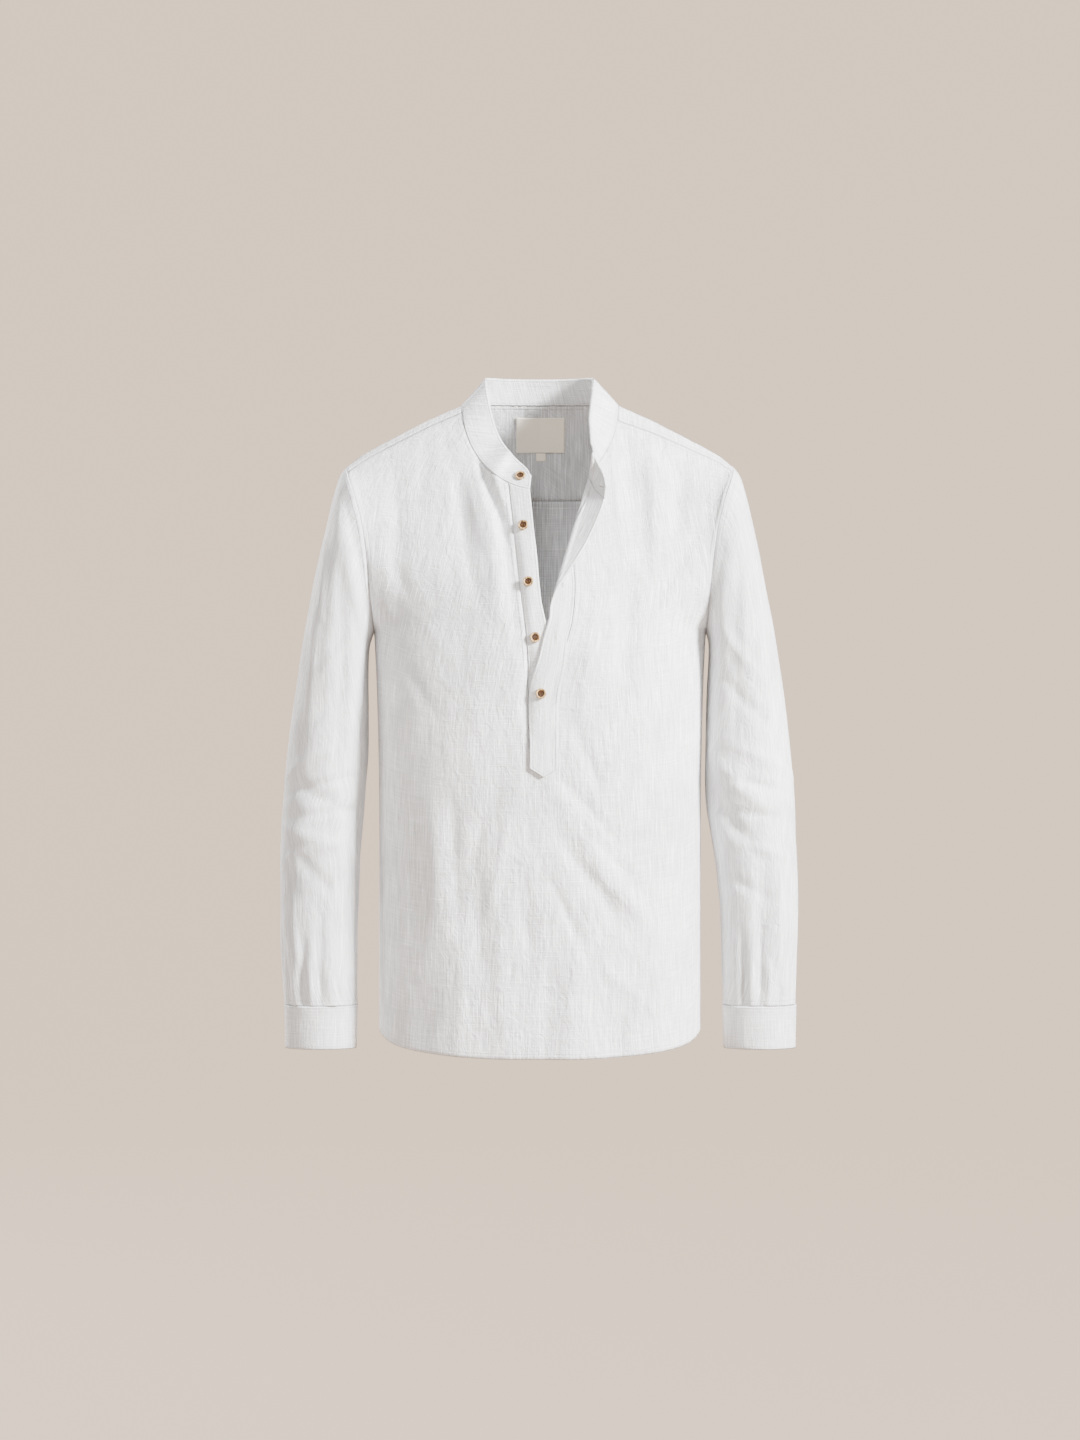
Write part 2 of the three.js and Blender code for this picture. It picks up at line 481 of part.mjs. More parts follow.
// Gives a piece its thickness: an outer and an inner layer, joined by a strip along every free edge.
function thickenPiece(piece) {
  const { grid, cells, normals, indexOf, thickness, outside, inset, ownSeams } = piece;
  const columns = grid.length;
  const rows = grid[0].length;
  const edgeUse = new Map();
  const cellEdges = ([column, row]) => {
    const a = [column, row];
    const b = [(column + 1) % columns, row];
    const c = [(column + 1) % columns, row + 1];
    const d = [column, row + 1];
    return [[a, b, d, c], [b, c, a, d], [c, d, b, a], [d, a, c, b]];
  };
  const edgeKey = (p, q) => [indexOf(...p), indexOf(...q)].sort((m, n) => m - n).join(' ');
  for (const cell of cells) {
    for (const [p, q] of cellEdges(cell)) {
      const key = edgeKey(p, q);
      edgeUse.set(key, (edgeUse.get(key) ?? 0) + 1);
    }
  }
  const strips = [];
  const leanings = grid.map((line) => line.map(() => []));
  for (const cell of cells) {
    for (const [p, q, inFromP] of cellEdges(cell)) {
      if (edgeUse.get(edgeKey(p, q)) > 1) continue;
      strips.push([p, q]);
      const along = grid[q[0]][q[1]].clone().sub(grid[p[0]][p[1]]).normalize();
      const inward = grid[inFromP[0]][inFromP[1]].clone().sub(grid[p[0]][p[1]]);
      inward.addScaledVector(along, -inward.dot(along)).normalize();
      leanings[p[0]][p[1]].push(inward);
      leanings[q[0]][q[1]].push(inward);
    }
  }
  const insetAt = (column, row) => {
    const [first, second] = leanings[column][row];
    if (!first) return new THREE.Vector3();
    if (!second) return first.clone().multiplyScalar(inset);
    const both = first.clone().add(second);
    return both.multiplyScalar(inset / Math.max(0.5, 1 + first.dot(second)));
  };
  const leanAt = (column, row) => {
    const shared = seamNormals.get(seamKey(grid[column][row]));
    const lean = shared && !ownSeams ? shared : normals[column][row];
    return lean.clone().normalize();
  };
  const positions = [];
  const layer = (offset) => {
    for (let column = 0; column < columns; column += 1) {
      for (let row = 0; row < rows; row += 1) {
        const point = grid[column][row].clone();
        point.addScaledVector(leanAt(column, row), offset);
        point.add(insetAt(column, row));
        if (ownSeams && row === 0) point.add(seamShift(piece, column));
        positions.push(...point.toArray());
      }
    }
  };
  layer(thickness / 2);
  layer(-thickness / 2);
  const depth = columns * rows;
  const faces = [];
  const addQuad = (a, b, c, d) => {
    if (outside > 0) faces.push(a, b, c, a, c, d);
    else faces.push(a, c, b, a, d, c);
  };
  for (const [column, row] of cells) {
    const a = indexOf(column, row);
    const b = indexOf(column + 1, row);
    const c = indexOf(column + 1, row + 1);
    const d = indexOf(column, row + 1);
    addQuad(a, b, c, d);
    addQuad(a + depth, d + depth, c + depth, b + depth);
  }
  for (const [p, q] of strips) {
    const a = indexOf(...p);
    const b = indexOf(...q);
    const isLower = grid[p[0]][p[1]].toArray().join() < grid[q[0]][q[1]].toArray().join();
    if (isLower) addQuad(a, a + depth, b + depth, b);
    else addQuad(b, a, a + depth, b + depth);
  }
  return compactGeometry(positions, faces);
}

// Keeps only the points that faces use.
function compactGeometry(positions, faces) {
  const renamed = new Map();
  const kept = [];
  const index = faces.map((old) => {
    if (!renamed.has(old)) {
      renamed.set(old, renamed.size);
      kept.push(positions[3 * old], positions[3 * old + 1], positions[3 * old + 2]);
    }
    return renamed.get(old);
  });
  const geometry = new THREE.BufferGeometry();
  geometry.setAttribute('position', new THREE.Float32BufferAttribute(kept, 3));
  geometry.setIndex(index);
  geometry.computeVertexNormals();
  return geometry;
}

// Columns and rows that the front, the yoke, the back and the sleeves share
const SHOULDER_COLUMNS = 7;
const NECK_COLUMNS = 14;
const YOKE_FRONT_ROWS = 3;
const YOKE_BACK_ROWS = 6;
const LOW_ROWS = 14;
const FRONT_HIGH_ROWS = 11;
const BACK_HIGH_ROWS = 8;
const LEFT_NECK_COLUMNS = 6;
const ROLL_COLUMNS = 4;
const ROLL_STEP = 5;
const RIGHT_NECK_COLUMNS = 5;

const corner = { left: cornerAngle('left'), right: cornerAngle('right') };
const stitchAngle = {
  left: edgeAngle(underStitch, 156),
  right: edgeAngle(overStitch, 152),
};
const freeAngle = {
  left: edgeAngle(underFree, 172),
  right: edgeAngle(overFree, 171),
};

// A point of the front shoulder seam, from the neck out to the armhole.
const seamSpot = (hand, step) => {
  const neckEnd = NECK_X * Math.sin(radians(corner[hand]));
  const x = lerp(neckEnd, SHOULDER_X, step / SHOULDER_COLUMNS);
  const z = ridgeZ(x) - seamDrop(hand, x);
  return { x: step === SHOULDER_COLUMNS ? halfWidth(z) : x, z };
};

// Heights of the rows at the side seam and up the armhole, closer together at the underarm.
function sideHeights(highRows, top) {
  const heights = [];
  for (let row = 0; row <= LOW_ROWS; row += 1) heights.push(lerp(SIDE_HEM_Z, UNDERARM_Z, row / LOW_ROWS));
  for (let row = 1; row <= highRows; row += 1) {
    const share = 1 - Math.cos((Math.PI / 2) * (row / highRows));
    heights.push(lerp(UNDERARM_Z, top, share));
  }
  return heights;
}

// Front
// One half of the front runs from the slit's edge out to the side. Its columns' upper ends lie along the
// neckline and then along the shoulder seam.
function frontHalfColumns(hand) {
  const sign = hand === 'left' ? -1 : 1;
  const edgeAt = (z) => sign * (hand === 'left' ? underStitch(z) : overStitch(z));
  const surface = hand === 'left' ? (x, z) => bodyPoint(FRONT, x, z) : rolledFront;
  const tops = [];
  if (hand === 'right') {
    const first = NECK_X * Math.sin(radians(stitchAngle.right));
    for (let step = 0; step < ROLL_COLUMNS; step += 1) {
      const share = (first + step * ROLL_STEP) / NECK_X;
      const angle = 180 - THREE.MathUtils.radToDeg(Math.asin(share));
      tops.push({ angle, x: neckX(angle), z: neckZ(angle), low: (step * ROLL_STEP) / 160 });
    }
  }
  const fixed = tops.length;
  const neckSteps = hand === 'left' ? LEFT_NECK_COLUMNS : RIGHT_NECK_COLUMNS;
  const firstX = NECK_X * Math.sin(radians(stitchAngle.right)) + ROLL_COLUMNS * ROLL_STEP;
  const rollAngle = 180 - THREE.MathUtils.radToDeg(Math.asin(firstX / NECK_X));
  const firstAngle = hand === 'left' ? stitchAngle.left : rollAngle;
  const free = neckSteps + SHOULDER_COLUMNS;
  const lowStart = (fixed * ROLL_STEP) / 160;
  for (let step = 0; step <= free; step += 1) {
    const low = lerp(lowStart, 1, Math.sin((Math.PI / 2) * (step / free)));
    if (step <= neckSteps) {
      const angle = lerp(firstAngle, corner[hand], step / neckSteps);
      tops.push({ angle, x: neckX(angle), z: neckZ(angle), low });
    } else {
      tops.push({ ...seamSpot(hand, step - neckSteps), low });
    }
  }
  const sideTop = tops[tops.length - 1].z;
  const heights = sideHeights(FRONT_HIGH_ROWS, sideTop);
  const columns = tops.map((top) => {
    const highShare = (top.x - edgeAt(top.z)) / (halfWidth(top.z) - edgeAt(top.z));
    const bottom = hemZ(FRONT, top.low);
    return heights.map((height, row) => {
      const up = (height - SIDE_HEM_Z) / (sideTop - SIDE_HEM_Z);
      const z = lerp(bottom, top.z, up);
      const share = lerp(top.low, highShare, smoothstep(0.3, 1, up));
      const atTop = row === heights.length - 1;
      const x = atTop ? top.x : lerp(edgeAt(z), halfWidth(z), share);
      return surface(sign * x, z);
    });
  });
  return { columns, tops };
}

const leftHalf = frontHalfColumns('left');
const rightHalf = frontHalfColumns('right');
const leftColumns = leftHalf.columns.length;
const slitRow = leftHalf.columns[0].findIndex((point) => point.z > SLIT_FOOT_Z);
const middleColumn = leftHalf.columns[0].map((point, row) => {
  const other = rightHalf.columns[0][row];
  const z = (point.z + other.z) / 2;
  return bodyPoint(FRONT, (point.x + other.x) / 2, z);
});
const frontGrid = [...[...leftHalf.columns].reverse(), middleColumn, ...rightHalf.columns];
addPiece('front', frontGrid, {
  thickness: CLOTH,
  material: WHITE_LINEN,
  hasCell: (column, row) => row < slitRow - 1 || column < leftColumns - 1 || column > leftColumns,
});

// Yoke
// Columns run from one armhole over the neck to the other, rows from the front seam over the shoulder line
// to the back seam. In front of the neck there is no cloth.
const YOKE_COLUMNS = 2 * SHOULDER_COLUMNS + NECK_COLUMNS;
function yokeColumn(column) {
  const fromMiddle = column - YOKE_COLUMNS / 2;
  const hand = fromMiddle < 0 ? 'left' : 'right';
  const sign = Math.sign(fromMiddle) || 1;
  const shoulderStep = Math.abs(fromMiddle) - NECK_COLUMNS / 2;
  const spreadShare = Math.sin((Math.PI / 2) * (Math.abs(fromMiddle) / (YOKE_COLUMNS / 2)));
  const points = [];
  const backAngle = sign * Math.min(90, (90 * Math.abs(fromMiddle)) / (NECK_COLUMNS / 2));
  const onShoulder = shoulderStep > 0;
  const spot = seamSpot(hand, Math.max(0, shoulderStep));
  const atArmhole = shoulderStep === SHOULDER_COLUMNS;
  const outerX = atArmhole ? SHOULDER_X : spot.x;
  const x = onShoulder ? outerX : Math.abs(neckX(backAngle));
  for (let row = 0; row < YOKE_FRONT_ROWS; row += 1) {
    const share = row / YOKE_FRONT_ROWS;
    if (shoulderStep <= 0) {
      const angle = sign * lerp(corner[hand], 90, share);
      points.push(sign > 0 ? rolledFront(neckX(angle), neckZ(angle)) : neckPoint(angle));
    } else {
      const z = lerp(ridgeZ(x), spot.z, (1 - share) ** 1.5);
      points.push(bodyPoint(FRONT, sign * (atArmhole ? halfWidth(z) : x), z));
    }
  }
  const topZ = onShoulder ? ridgeZ(x) : neckZ(backAngle);
  const topShare = x / halfWidth(topZ);
  const bottomShare = lerp(topShare, spreadShare, 0.7);
  for (let row = 0; row <= YOKE_BACK_ROWS; row += 1) {
    const share = row / YOKE_BACK_ROWS;
    const z = lerp(topZ, BACK_SEAM_Z, share ** (onShoulder ? 1.7 : 1.25));
    const across = lerp(topShare, bottomShare, share);
    points.push(bodyPoint(BACK, sign * across * halfWidth(z), z));
  }
  return points;
}
const yokeGrid = Array.from({ length: YOKE_COLUMNS + 1 }, (_, column) => yokeColumn(column));
const isShoulderCell = (column) => {
  return column < SHOULDER_COLUMNS || column >= SHOULDER_COLUMNS + NECK_COLUMNS;
};
addPiece('yoke', yokeGrid, {
  thickness: CLOTH,
  material: WHITE_LINEN,
  hasCell: (column, row) => row >= YOKE_FRONT_ROWS || isShoulderCell(column),
});

// Back
const backHeights = sideHeights(BACK_HIGH_ROWS, BACK_SEAM_Z);
const backGrid = yokeGrid.map((yokeLine, column) => {
  const seamPoint = yokeLine[yokeLine.length - 1];
  const sign = Math.sign(seamPoint.x) || 1;
  const seamShare = Math.abs(seamPoint.x) / halfWidth(BACK_SEAM_Z);
  const fromMiddle = Math.abs(column - YOKE_COLUMNS / 2) / (YOKE_COLUMNS / 2);
  const lowShare = Math.sin((Math.PI / 2) * fromMiddle);
  const bottom = hemZ(BACK, lowShare);
  return backHeights.map((height, row) => {
    if (row === backHeights.length - 1) return seamPoint.clone();
    const up = (height - SIDE_HEM_Z) / (BACK_SEAM_Z - SIDE_HEM_Z);
    const z = lerp(bottom, BACK_SEAM_Z, up);
    const share = lerp(lowShare, seamShare, smoothstep(0.3, 1, up));
    return bodyPoint(BACK, sign * share * halfWidth(z), z);
  });
});
addPiece('back', backGrid, { thickness: CLOTH, material: WHITE_LINEN, outside: -1 });

// Sleeves
// A sleeve's first ring is the armhole: up the front, over the yoke's end and down the back.
function armholeRing(hand) {
  const frontEdge = hand === 'left' ? frontGrid[0] : frontGrid[frontGrid.length - 1];
  const yokeEdge = hand === 'left' ? yokeGrid[0] : yokeGrid[yokeGrid.length - 1];
  const backEdge = hand === 'left' ? backGrid[0] : backGrid[backGrid.length - 1];
  return [
    ...frontEdge.slice(LOW_ROWS),
    ...yokeEdge.slice(1),
    ...[...backEdge.slice(LOW_ROWS + 1, -1)].reverse(),
  ];
}

// The angle round the arm of a point of the armhole: 0 at the top, 180 at the underarm, negative behind.
function armholeAngle(point) {
  const middle = (SHOULDER_Z + UNDERARM_Z) / 2;
  const half = (SHOULDER_Z - UNDERARM_Z) / 2;
  const height = clamp((point.z - middle) / half, -1, 1);
  const angle = Math.acos(signedPower(height, ARMHOLE_POWER / 2));
  return point.y > 0.01 ? -angle : angle;
}

function ringPoint(hand, angle, step) {
  const rows = sleeveRings[hand];
  const read = (column) => readTable(rows, 'step', column, step);
  const sign = hand === 'left' ? -1 : 1;
  const power = 2 / lerp(ARMHOLE_POWER, SLEEVE_POWER, clamp(step / 4, 0, 1));
  const up = signedPower(Math.cos(angle), power);
  const forward = signedPower(Math.sin(angle), power);
  const outX = read('outX');
  const inX = read('inX');
  const outZ = read('outZ');
  const inZ = read('inZ');
  const depth = forward > 0 ? read('front') : read('back');
  const x = lerp(inX, outX, (1 + up) / 2);
  const z = lerp(inZ, outZ, (1 + up) / 2);
  return new THREE.Vector3(sign * x, -depth * forward - read('mid'), z);
}

// Adds the folds to a ring's point, straight away from the ring's middle.
function sleevePoint(hand, angle, step) {
  const point = ringPoint(hand, angle, step);
  const degrees = THREE.MathUtils.radToDeg(angle);
  let fold = 0;
  for (const row of sleeveFolds[hand]) {
    const turn = ((degrees - row.angle1 + 540) % 360) - 180;
    const span = row.angle2 - row.angle1;
    fold += foldHeight(row, turn * SLEEVE_DEGREE, point.z, 0, row.z1, span * SLEEVE_DEGREE, row.z2);
  }
  const middle = ringPoint(hand, 0, step).add(ringPoint(hand, Math.PI, step)).multiplyScalar(0.5);
  const away = point.clone().sub(middle).normalize();
  return point.addScaledVector(away, fold * smoothstep(0.5, 4, step));
}

function sleeveGrid(hand) {
  const ring = armholeRing(hand);
  const lastStep = sleeveRings[hand].length - 1;
  return ring.map((armholePoint) => {
    const angle = armholeAngle(armholePoint);
    const column = [armholePoint.clone()];
    const start = ringPoint(hand, angle, 0);
    for (let step = 1; step <= lastStep; step += 1) {
      const carry = armholePoint.clone().sub(start).multiplyScalar(1 - smoothstep(0, 4, step));
      column.push(sleevePoint(hand, angle, step).add(carry));
    }
    return column;
  });
}

for (const hand of ['left', 'right']) {
  addPiece(`sleeve_${hand}`, sleeveGrid(hand), {
    thickness: CLOTH,
    material: WHITE_LINEN,
    closed: true,
    outside: hand === 'left' ? 1 : -1,
    inset: 0,
    ownSeams: true,
  });
}

// Cuffs
// A cuff is a strip round the wrist whose last stretch lies over its first.
function cuffPoint(hand, degrees, z, rise) {
  const lastStep = sleeveRings[hand].length - 1;
  const down = (CUFF_TOP_Z - z) / (CUFF_TOP_Z - CUFF_FOOT_Z);
  const top = ringPoint(hand, radians(degrees), lastStep);
  const middle = ringPoint(hand, 0, lastStep).add(ringPoint(hand, Math.PI, lastStep)).multiplyScalar(0.5);
  const away = top.clone().sub(middle).setZ(0);
  const reach = away.length() * (1 - 0.03 * down) + rise;
  away.setLength(reach);
  return new THREE.Vector3(middle.x + away.x, middle.y + away.y, z);
}

const CUFF_COLUMNS = 27;
const CUFF_ROWS = 2;
const cuffSpan = 360 + CUFF_LAP_DEGREES;
const cuffDegrees = (share) => CUFF_OPENING_DEGREES + cuffSpan * share;
const cuffRise = (share) => CUFF_LAP_RISE * smoothstep(315, 355, cuffSpan * share);
for (const hand of ['left', 'right']) {
  const grid = [];
  for (let column = 0; column <= CUFF_COLUMNS; column += 1) {
    const share = column / CUFF_COLUMNS;
    const line = [];
    for (let row = 0; row <= CUFF_ROWS; row += 1) {
      const z = lerp(CUFF_FOOT_Z, CUFF_TOP_Z - SEAM_INSET, row / CUFF_ROWS);
      line.push(cuffPoint(hand, cuffDegrees(share), z, cuffRise(share)));
    }
    grid.push(line);
  }
  addPiece(`cuff_${hand}`, grid, {
    thickness: CUFF_CLOTH,
    material: WHITE_LINEN,
    outside: hand === 'left' ? 1 : -1,
  });
}

// Sleeve plackets: a strip on the back of each sleeve above the cuff, with a pointed top.
const SLEEVE_PLACKET_COLUMNS = 2;
const SLEEVE_PLACKET_ROWS = 6;
for (const hand of ['left', 'right']) {
  const grid = [];
  const halfDegrees = SLEEVE_PLACKET.width / 2 / SLEEVE_DEGREE;
  const rise = CLOTH / 2 + PLACKET_CLOTH / 2 + REST_GAP;
  for (let column = 0; column <= SLEEVE_PLACKET_COLUMNS; column += 1) {
    const across = (2 * column) / SLEEVE_PLACKET_COLUMNS - 1;
    const line = [];
    for (let row = 0; row <= SLEEVE_PLACKET_ROWS; row += 1) {
      const reach = SLEEVE_PLACKET.length - 10 * Math.abs(across);
      const z = CUFF_TOP_Z + 2 + (reach * row) / SLEEVE_PLACKET_ROWS;
      const steps = sleeveRings[hand];
      const step = readTable(steps.map((ring) => ({ z: ring.outZ, step: ring.step })), 'z', 'step', z);
      const angle = radians(SLEEVE_PLACKET.degrees + across * halfDegrees);
      const middle = ringPoint(hand, 0, step).add(ringPoint(hand, Math.PI, step)).multiplyScalar(0.5);
      const point = sleevePoint(hand, angle, step);
      line.push(point.addScaledVector(point.clone().sub(middle).setZ(0).normalize(), rise));
    }
    grid.push(line);
  }
  addPiece(`sleeve_placket_${hand}`, grid, {
    thickness: PLACKET_CLOTH,
    material: WHITE_LINEN,
    outside: hand === 'left' ? 1 : -1,
  });
}

// Under placket
const UNDER_COLUMNS = 3;
const UNDER_ROWS = 16;
const underAngles = [];
for (let column = 0; column <= UNDER_COLUMNS; column += 1) {
  underAngles.push(-lerp(stitchAngle.left, freeAngle.left, column / UNDER_COLUMNS));
}
const underGrid = underAngles.map((angle, column) => {
  const line = [];
  for (let row = 0; row <= UNDER_ROWS; row += 1) {
    const z = lerp(SLIT_FOOT_Z, neckZ(angle), row / UNDER_ROWS);
    const stitch = underStitch(z) + PLACKET_EDGE_GAP;
    const share = column / UNDER_COLUMNS;
    const x = row === UNDER_ROWS ? neckX(angle) : lerp(stitch, underFree(z), share);
    line.push(bodyPoint(FRONT, x, z));
  }
  return line;
});
addPiece('placket_under', underGrid, { thickness: PLACKET_CLOTH, material: WHITE_LINEN });

// Over placket
// Where it is buttoned it lies over the under placket and laps the front by a few millimetres. Above that
// it goes on from the front's edge and rolls back.
const OVER_COLUMNS = 8;
const OVER_ROWS = 20;
const overAngles = [];
for (let column = 0; column <= OVER_COLUMNS; column += 1) {
  overAngles.push(lerp(freeAngle.right, stitchAngle.right, column / OVER_COLUMNS));
}
const frontward = new THREE.Vector3(0, -1, 0);
function overPlacketPoint(x, z) {
  const rise = LAP_RISE * (1 - smoothstep(-240, -212, z));
  if (rise === 0) return rolledFront(x, z);
  return raised(rolledFront, x, z, rise, frontward);
}
const overGrid = overAngles.map((angle, column) => {
  const line = [];
  const share = column / OVER_COLUMNS;
  const foot = PLACKET_FOOT_Z - PLACKET_POINT * (1 - Math.abs(2 * share - 1));
  for (let row = 0; row <= OVER_ROWS; row += 1) {
    const z = lerp(foot, neckZ(angle), row / OVER_ROWS);
    const stitch = overStitch(z) - PLACKET_EDGE_GAP + LAP * (1 - smoothstep(-285, -248, z));
    const x = row === OVER_ROWS ? neckX(angle) : lerp(overFree(z), stitch, share);
    line.push(overPlacketPoint(x, z));
  }
  return line;
});
addPiece('placket_over', overGrid, { thickness: PLACKET_CLOTH, material: WHITE_LINEN });

// Collar
// The band follows the tops of the under placket, the front, the yoke and the over placket.
const rightTops = rightHalf.tops.filter((top) => top.angle !== undefined).map((top) => top.angle);
const leftTops = leftHalf.tops.filter((top) => top.angle !== undefined).map((top) => -top.angle);
const sideAngles = (hand) => {
  const steps = [1, 2, 3].map((step) => lerp(corner[hand], 90, step / YOKE_FRONT_ROWS));
  return hand === 'left' ? steps.map((angle) => -angle) : steps.reverse();
};
const backAngles = [];
for (let step = 1; step < NECK_COLUMNS; step += 1) backAngles.push(-90 + (180 * step) / NECK_COLUMNS);
const bandAngles = [
  ...[...underAngles].reverse().slice(0, -1),
  ...leftTops,
  ...sideAngles('left'),
  ...backAngles,
  ...sideAngles('right'),
  ...[...rightTops].reverse(),
  ...[...overAngles].reverse().slice(1),
];
function bandPoint(angle, share) {
  const seam = neckPoint(angle);
  const rise = new THREE.Vector3(
    readTable(collarRise, 'angle', 'x', angle),
    readTable(collarRise, 'angle', 'y', angle),
    readTable(collarRise, 'angle', 'z', angle),
  );
  return seam.addScaledVector(rise, share);
}
const bandGrid = bandAngles.map((angle) => {
  const line = [];
  for (let row = 0; row <= BAND_ROWS; row += 1) line.push(bandPoint(angle, row / BAND_ROWS));
  return line;
});
addPiece('collar', bandGrid, { thickness: BAND_CLOTH, material: WHITE_LINEN, outside: -1 });

// Label and size tab, on the inside of the yoke
const backward = new THREE.Vector3(0, 1, 0);
const labelRise = -(CLOTH / 2 + LABEL_CLOTH / 2 + REST_GAP + 0.3);
for (const [name, place, columns, rows] of [['neck_label', neckLabel, 5, 4], ['size_tab', sizeTab, 1, 1]]) {
  const grid = [];
  for (let column = 0; column <= columns; column += 1) {
    const line = [];
    for (let row = 0; row <= rows; row += 1) {
      const x = lerp(place.left, place.right, column / columns);
      const z = lerp(place.bottom, place.top, row / rows);
      line.push(raised((u, v) => bodyPoint(BACK, u, v), x, z, labelRise, backward));
    }
    grid.push(line);
  }
  addPiece(name, grid, { thickness: LABEL_CLOTH, material: CREAM_LABEL, outside: -1 });
}

const shirt = new THREE.Group();
for (const piece of pieces) {
  const mesh = new THREE.Mesh(thickenPiece(piece), piece.material);
  mesh.name = piece.name;
  shirt.add(mesh);
}

// Buttons
// A round disc with a raised rim and a dished face.
function buttonGeometry() {
  const { radius, thickness, rim, dish } = BUTTON;
  const profile = [
    [0, 0],
    [radius - 0.5, 0],
    [radius, 0.6],
    [radius, thickness - 0.6],
    [radius - 0.4, thickness],
    [radius - rim, thickness],
    [radius - rim - 0.6, thickness - dish],
    [0, thickness - dish],
  ];
  return new THREE.LatheGeometry(profile.map(([x, y]) => new THREE.Vector2(x, y)), BUTTON_SEGMENTS);
}

// Stands a button on a cloth: the point on the cloth's middle, its normal and half its thickness.
function addButton(name, point, normal, halfCloth) {
  const mesh = new THREE.Mesh(buttonGeometry(), HORN);
  mesh.name = name;
  mesh.position.copy(point).addScaledVector(normal, halfCloth + BUTTON.standOff);
  mesh.quaternion.setFromUnitVectors(new THREE.Vector3(0, 1, 0), normal);
  shirt.add(mesh);
}

function surfaceNormal(surface, u, v, outward, step = 3) {
  const alongU = surface(u + step, v).sub(surface(u - step, v));
  const alongV = surface(u, v + step).sub(surface(u, v - step));
  const normal = alongU.cross(alongV).normalize();
  return normal.dot(outward) < 0 ? normal.negate() : normal;
}

const frontSurface = (x, z) => bodyPoint(FRONT, x, z);
const bandSurface = (angle, height) => bandPoint(angle, height / 30);
const bandNormal = surfaceNormal(bandSurface, topButtonAngle, 14, frontward);
addButton('button_1', bandSurface(topButtonAngle, 14), bandNormal, BAND_CLOTH / 2);
for (const { name, x, z } of frontButtons) {
  const normal = surfaceNormal(frontSurface, x, z, frontward);
  addButton(name, frontSurface(x, z), normal, PLACKET_CLOTH / 2);
}
const lowerNormal = surfaceNormal(overPlacketPoint, lowerButton.x, lowerButton.z, frontward);
addButton(lowerButton.name, overPlacketPoint(lowerButton.x, lowerButton.z), lowerNormal, PLACKET_CLOTH / 2);

for (const hand of ['left', 'right']) {
  const share = (360 + CUFF_LAP_DEGREES / 2) / cuffSpan;
  const surface = (degrees, z) => cuffPoint(hand, degrees, z, CUFF_LAP_RISE);
  const middleZ = (CUFF_TOP_Z + CUFF_FOOT_Z) / 2;
  const degrees = cuffDegrees(share);
  const normal = surfaceNormal(surface, degrees, middleZ, backward);
  addButton(`cuff_button_${hand}`, surface(degrees, middleZ), normal, CUFF_CLOTH / 2);
}

export default shirt;
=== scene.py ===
# A white linen shirt with a band collar and a half-length placket, filled out with no wearer.
# Sizes are in millimetres and turned into Blender's metres when a mesh is made. The front faces -Y.
import math
from functools import partial

import bpy
import numpy as np
from mathutils import Matrix, Vector
from mathutils.bvhtree import BVHTree
from mathutils.kdtree import KDTree


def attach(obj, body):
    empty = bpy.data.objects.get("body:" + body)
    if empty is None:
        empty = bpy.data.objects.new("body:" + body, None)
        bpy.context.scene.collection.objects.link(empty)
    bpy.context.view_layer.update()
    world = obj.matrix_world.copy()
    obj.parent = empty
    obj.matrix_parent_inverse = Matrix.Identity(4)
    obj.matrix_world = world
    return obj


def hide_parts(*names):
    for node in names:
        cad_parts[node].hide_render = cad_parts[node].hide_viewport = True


mm = 0.001
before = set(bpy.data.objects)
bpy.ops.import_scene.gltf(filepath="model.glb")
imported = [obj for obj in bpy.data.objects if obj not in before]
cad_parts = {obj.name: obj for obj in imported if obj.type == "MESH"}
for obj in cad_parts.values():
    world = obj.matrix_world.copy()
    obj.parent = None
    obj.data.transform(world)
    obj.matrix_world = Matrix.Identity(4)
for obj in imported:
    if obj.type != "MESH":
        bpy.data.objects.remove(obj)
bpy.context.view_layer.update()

# Kinds of cloth: the look, the thickness, and how far in from the edges the sewing runs.
kinds = dict(
    body=dict(look="linen", thickness=1.1, inset=5.0),
    placket=dict(look="trim", thickness=1.6, inset=2.6),
    cuff=dict(look="trim", thickness=1.8, inset=2.6),
    band=dict(look="trim", thickness=1.9, inset=2.6),
    label=dict(look="label", thickness=0.7, inset=1.4),
    tab=dict(look="label", thickness=0.7, inset=None),
)
stitch = dict(length=2.3, pitch=3.1, radius=0.24, sink=0.05, shortest=1.2, longest=3.4, farthest=2.5)
# Thickness of the solid walls that the buttons stand on.
wall = dict(band=2.4, placket=2.1, cuff=2.2)

# Body of the shirt
sideSign = dict(front=-1, back=1)
sideSeed = dict(front=4, back=6)
sectionPower = 2.4
capShape = dict(front=(300, 1.3), back=(200, 1.5))
shoulderX = 206.5
shoulderZ = -66
underarmZ = -240
armholePower = 2.3
armholeReach = dict(front=58, back=64)
backSeamZ = -97
sideHemZ = -667
hemDrop = dict(front=25, back=29)
neckHalf = 83.5
neckFrontDrop = 94
neckBackRise = 3.5

# Placket, sleeves and cuffs
placketWidth = 25.7
slitFootZ = -362
placketFootZ = -388
placketTip = 9
lap = 4
lapRise = 2.8
stitchedRise = 1.1
bodyGain = 1.2
sleeveGain = 1.15
softGain = 1.1
cuffTopZ = -640
cuffFootZ = -686
cuffLapDegrees = 26
cuffLapRise = 2.7
cuffOpeningDegrees = -78
sleevePower = 2.15
sleeveDegree = 0.85
sleevePlacket = dict(width=24, length=118, degrees=-92, point=10, rise=1.9)
handSign = dict(left=-1, right=1)
sleeveSeed = dict(left=21, right=34)
seamDrop = dict(left=(7, 7), right=(17, 7))

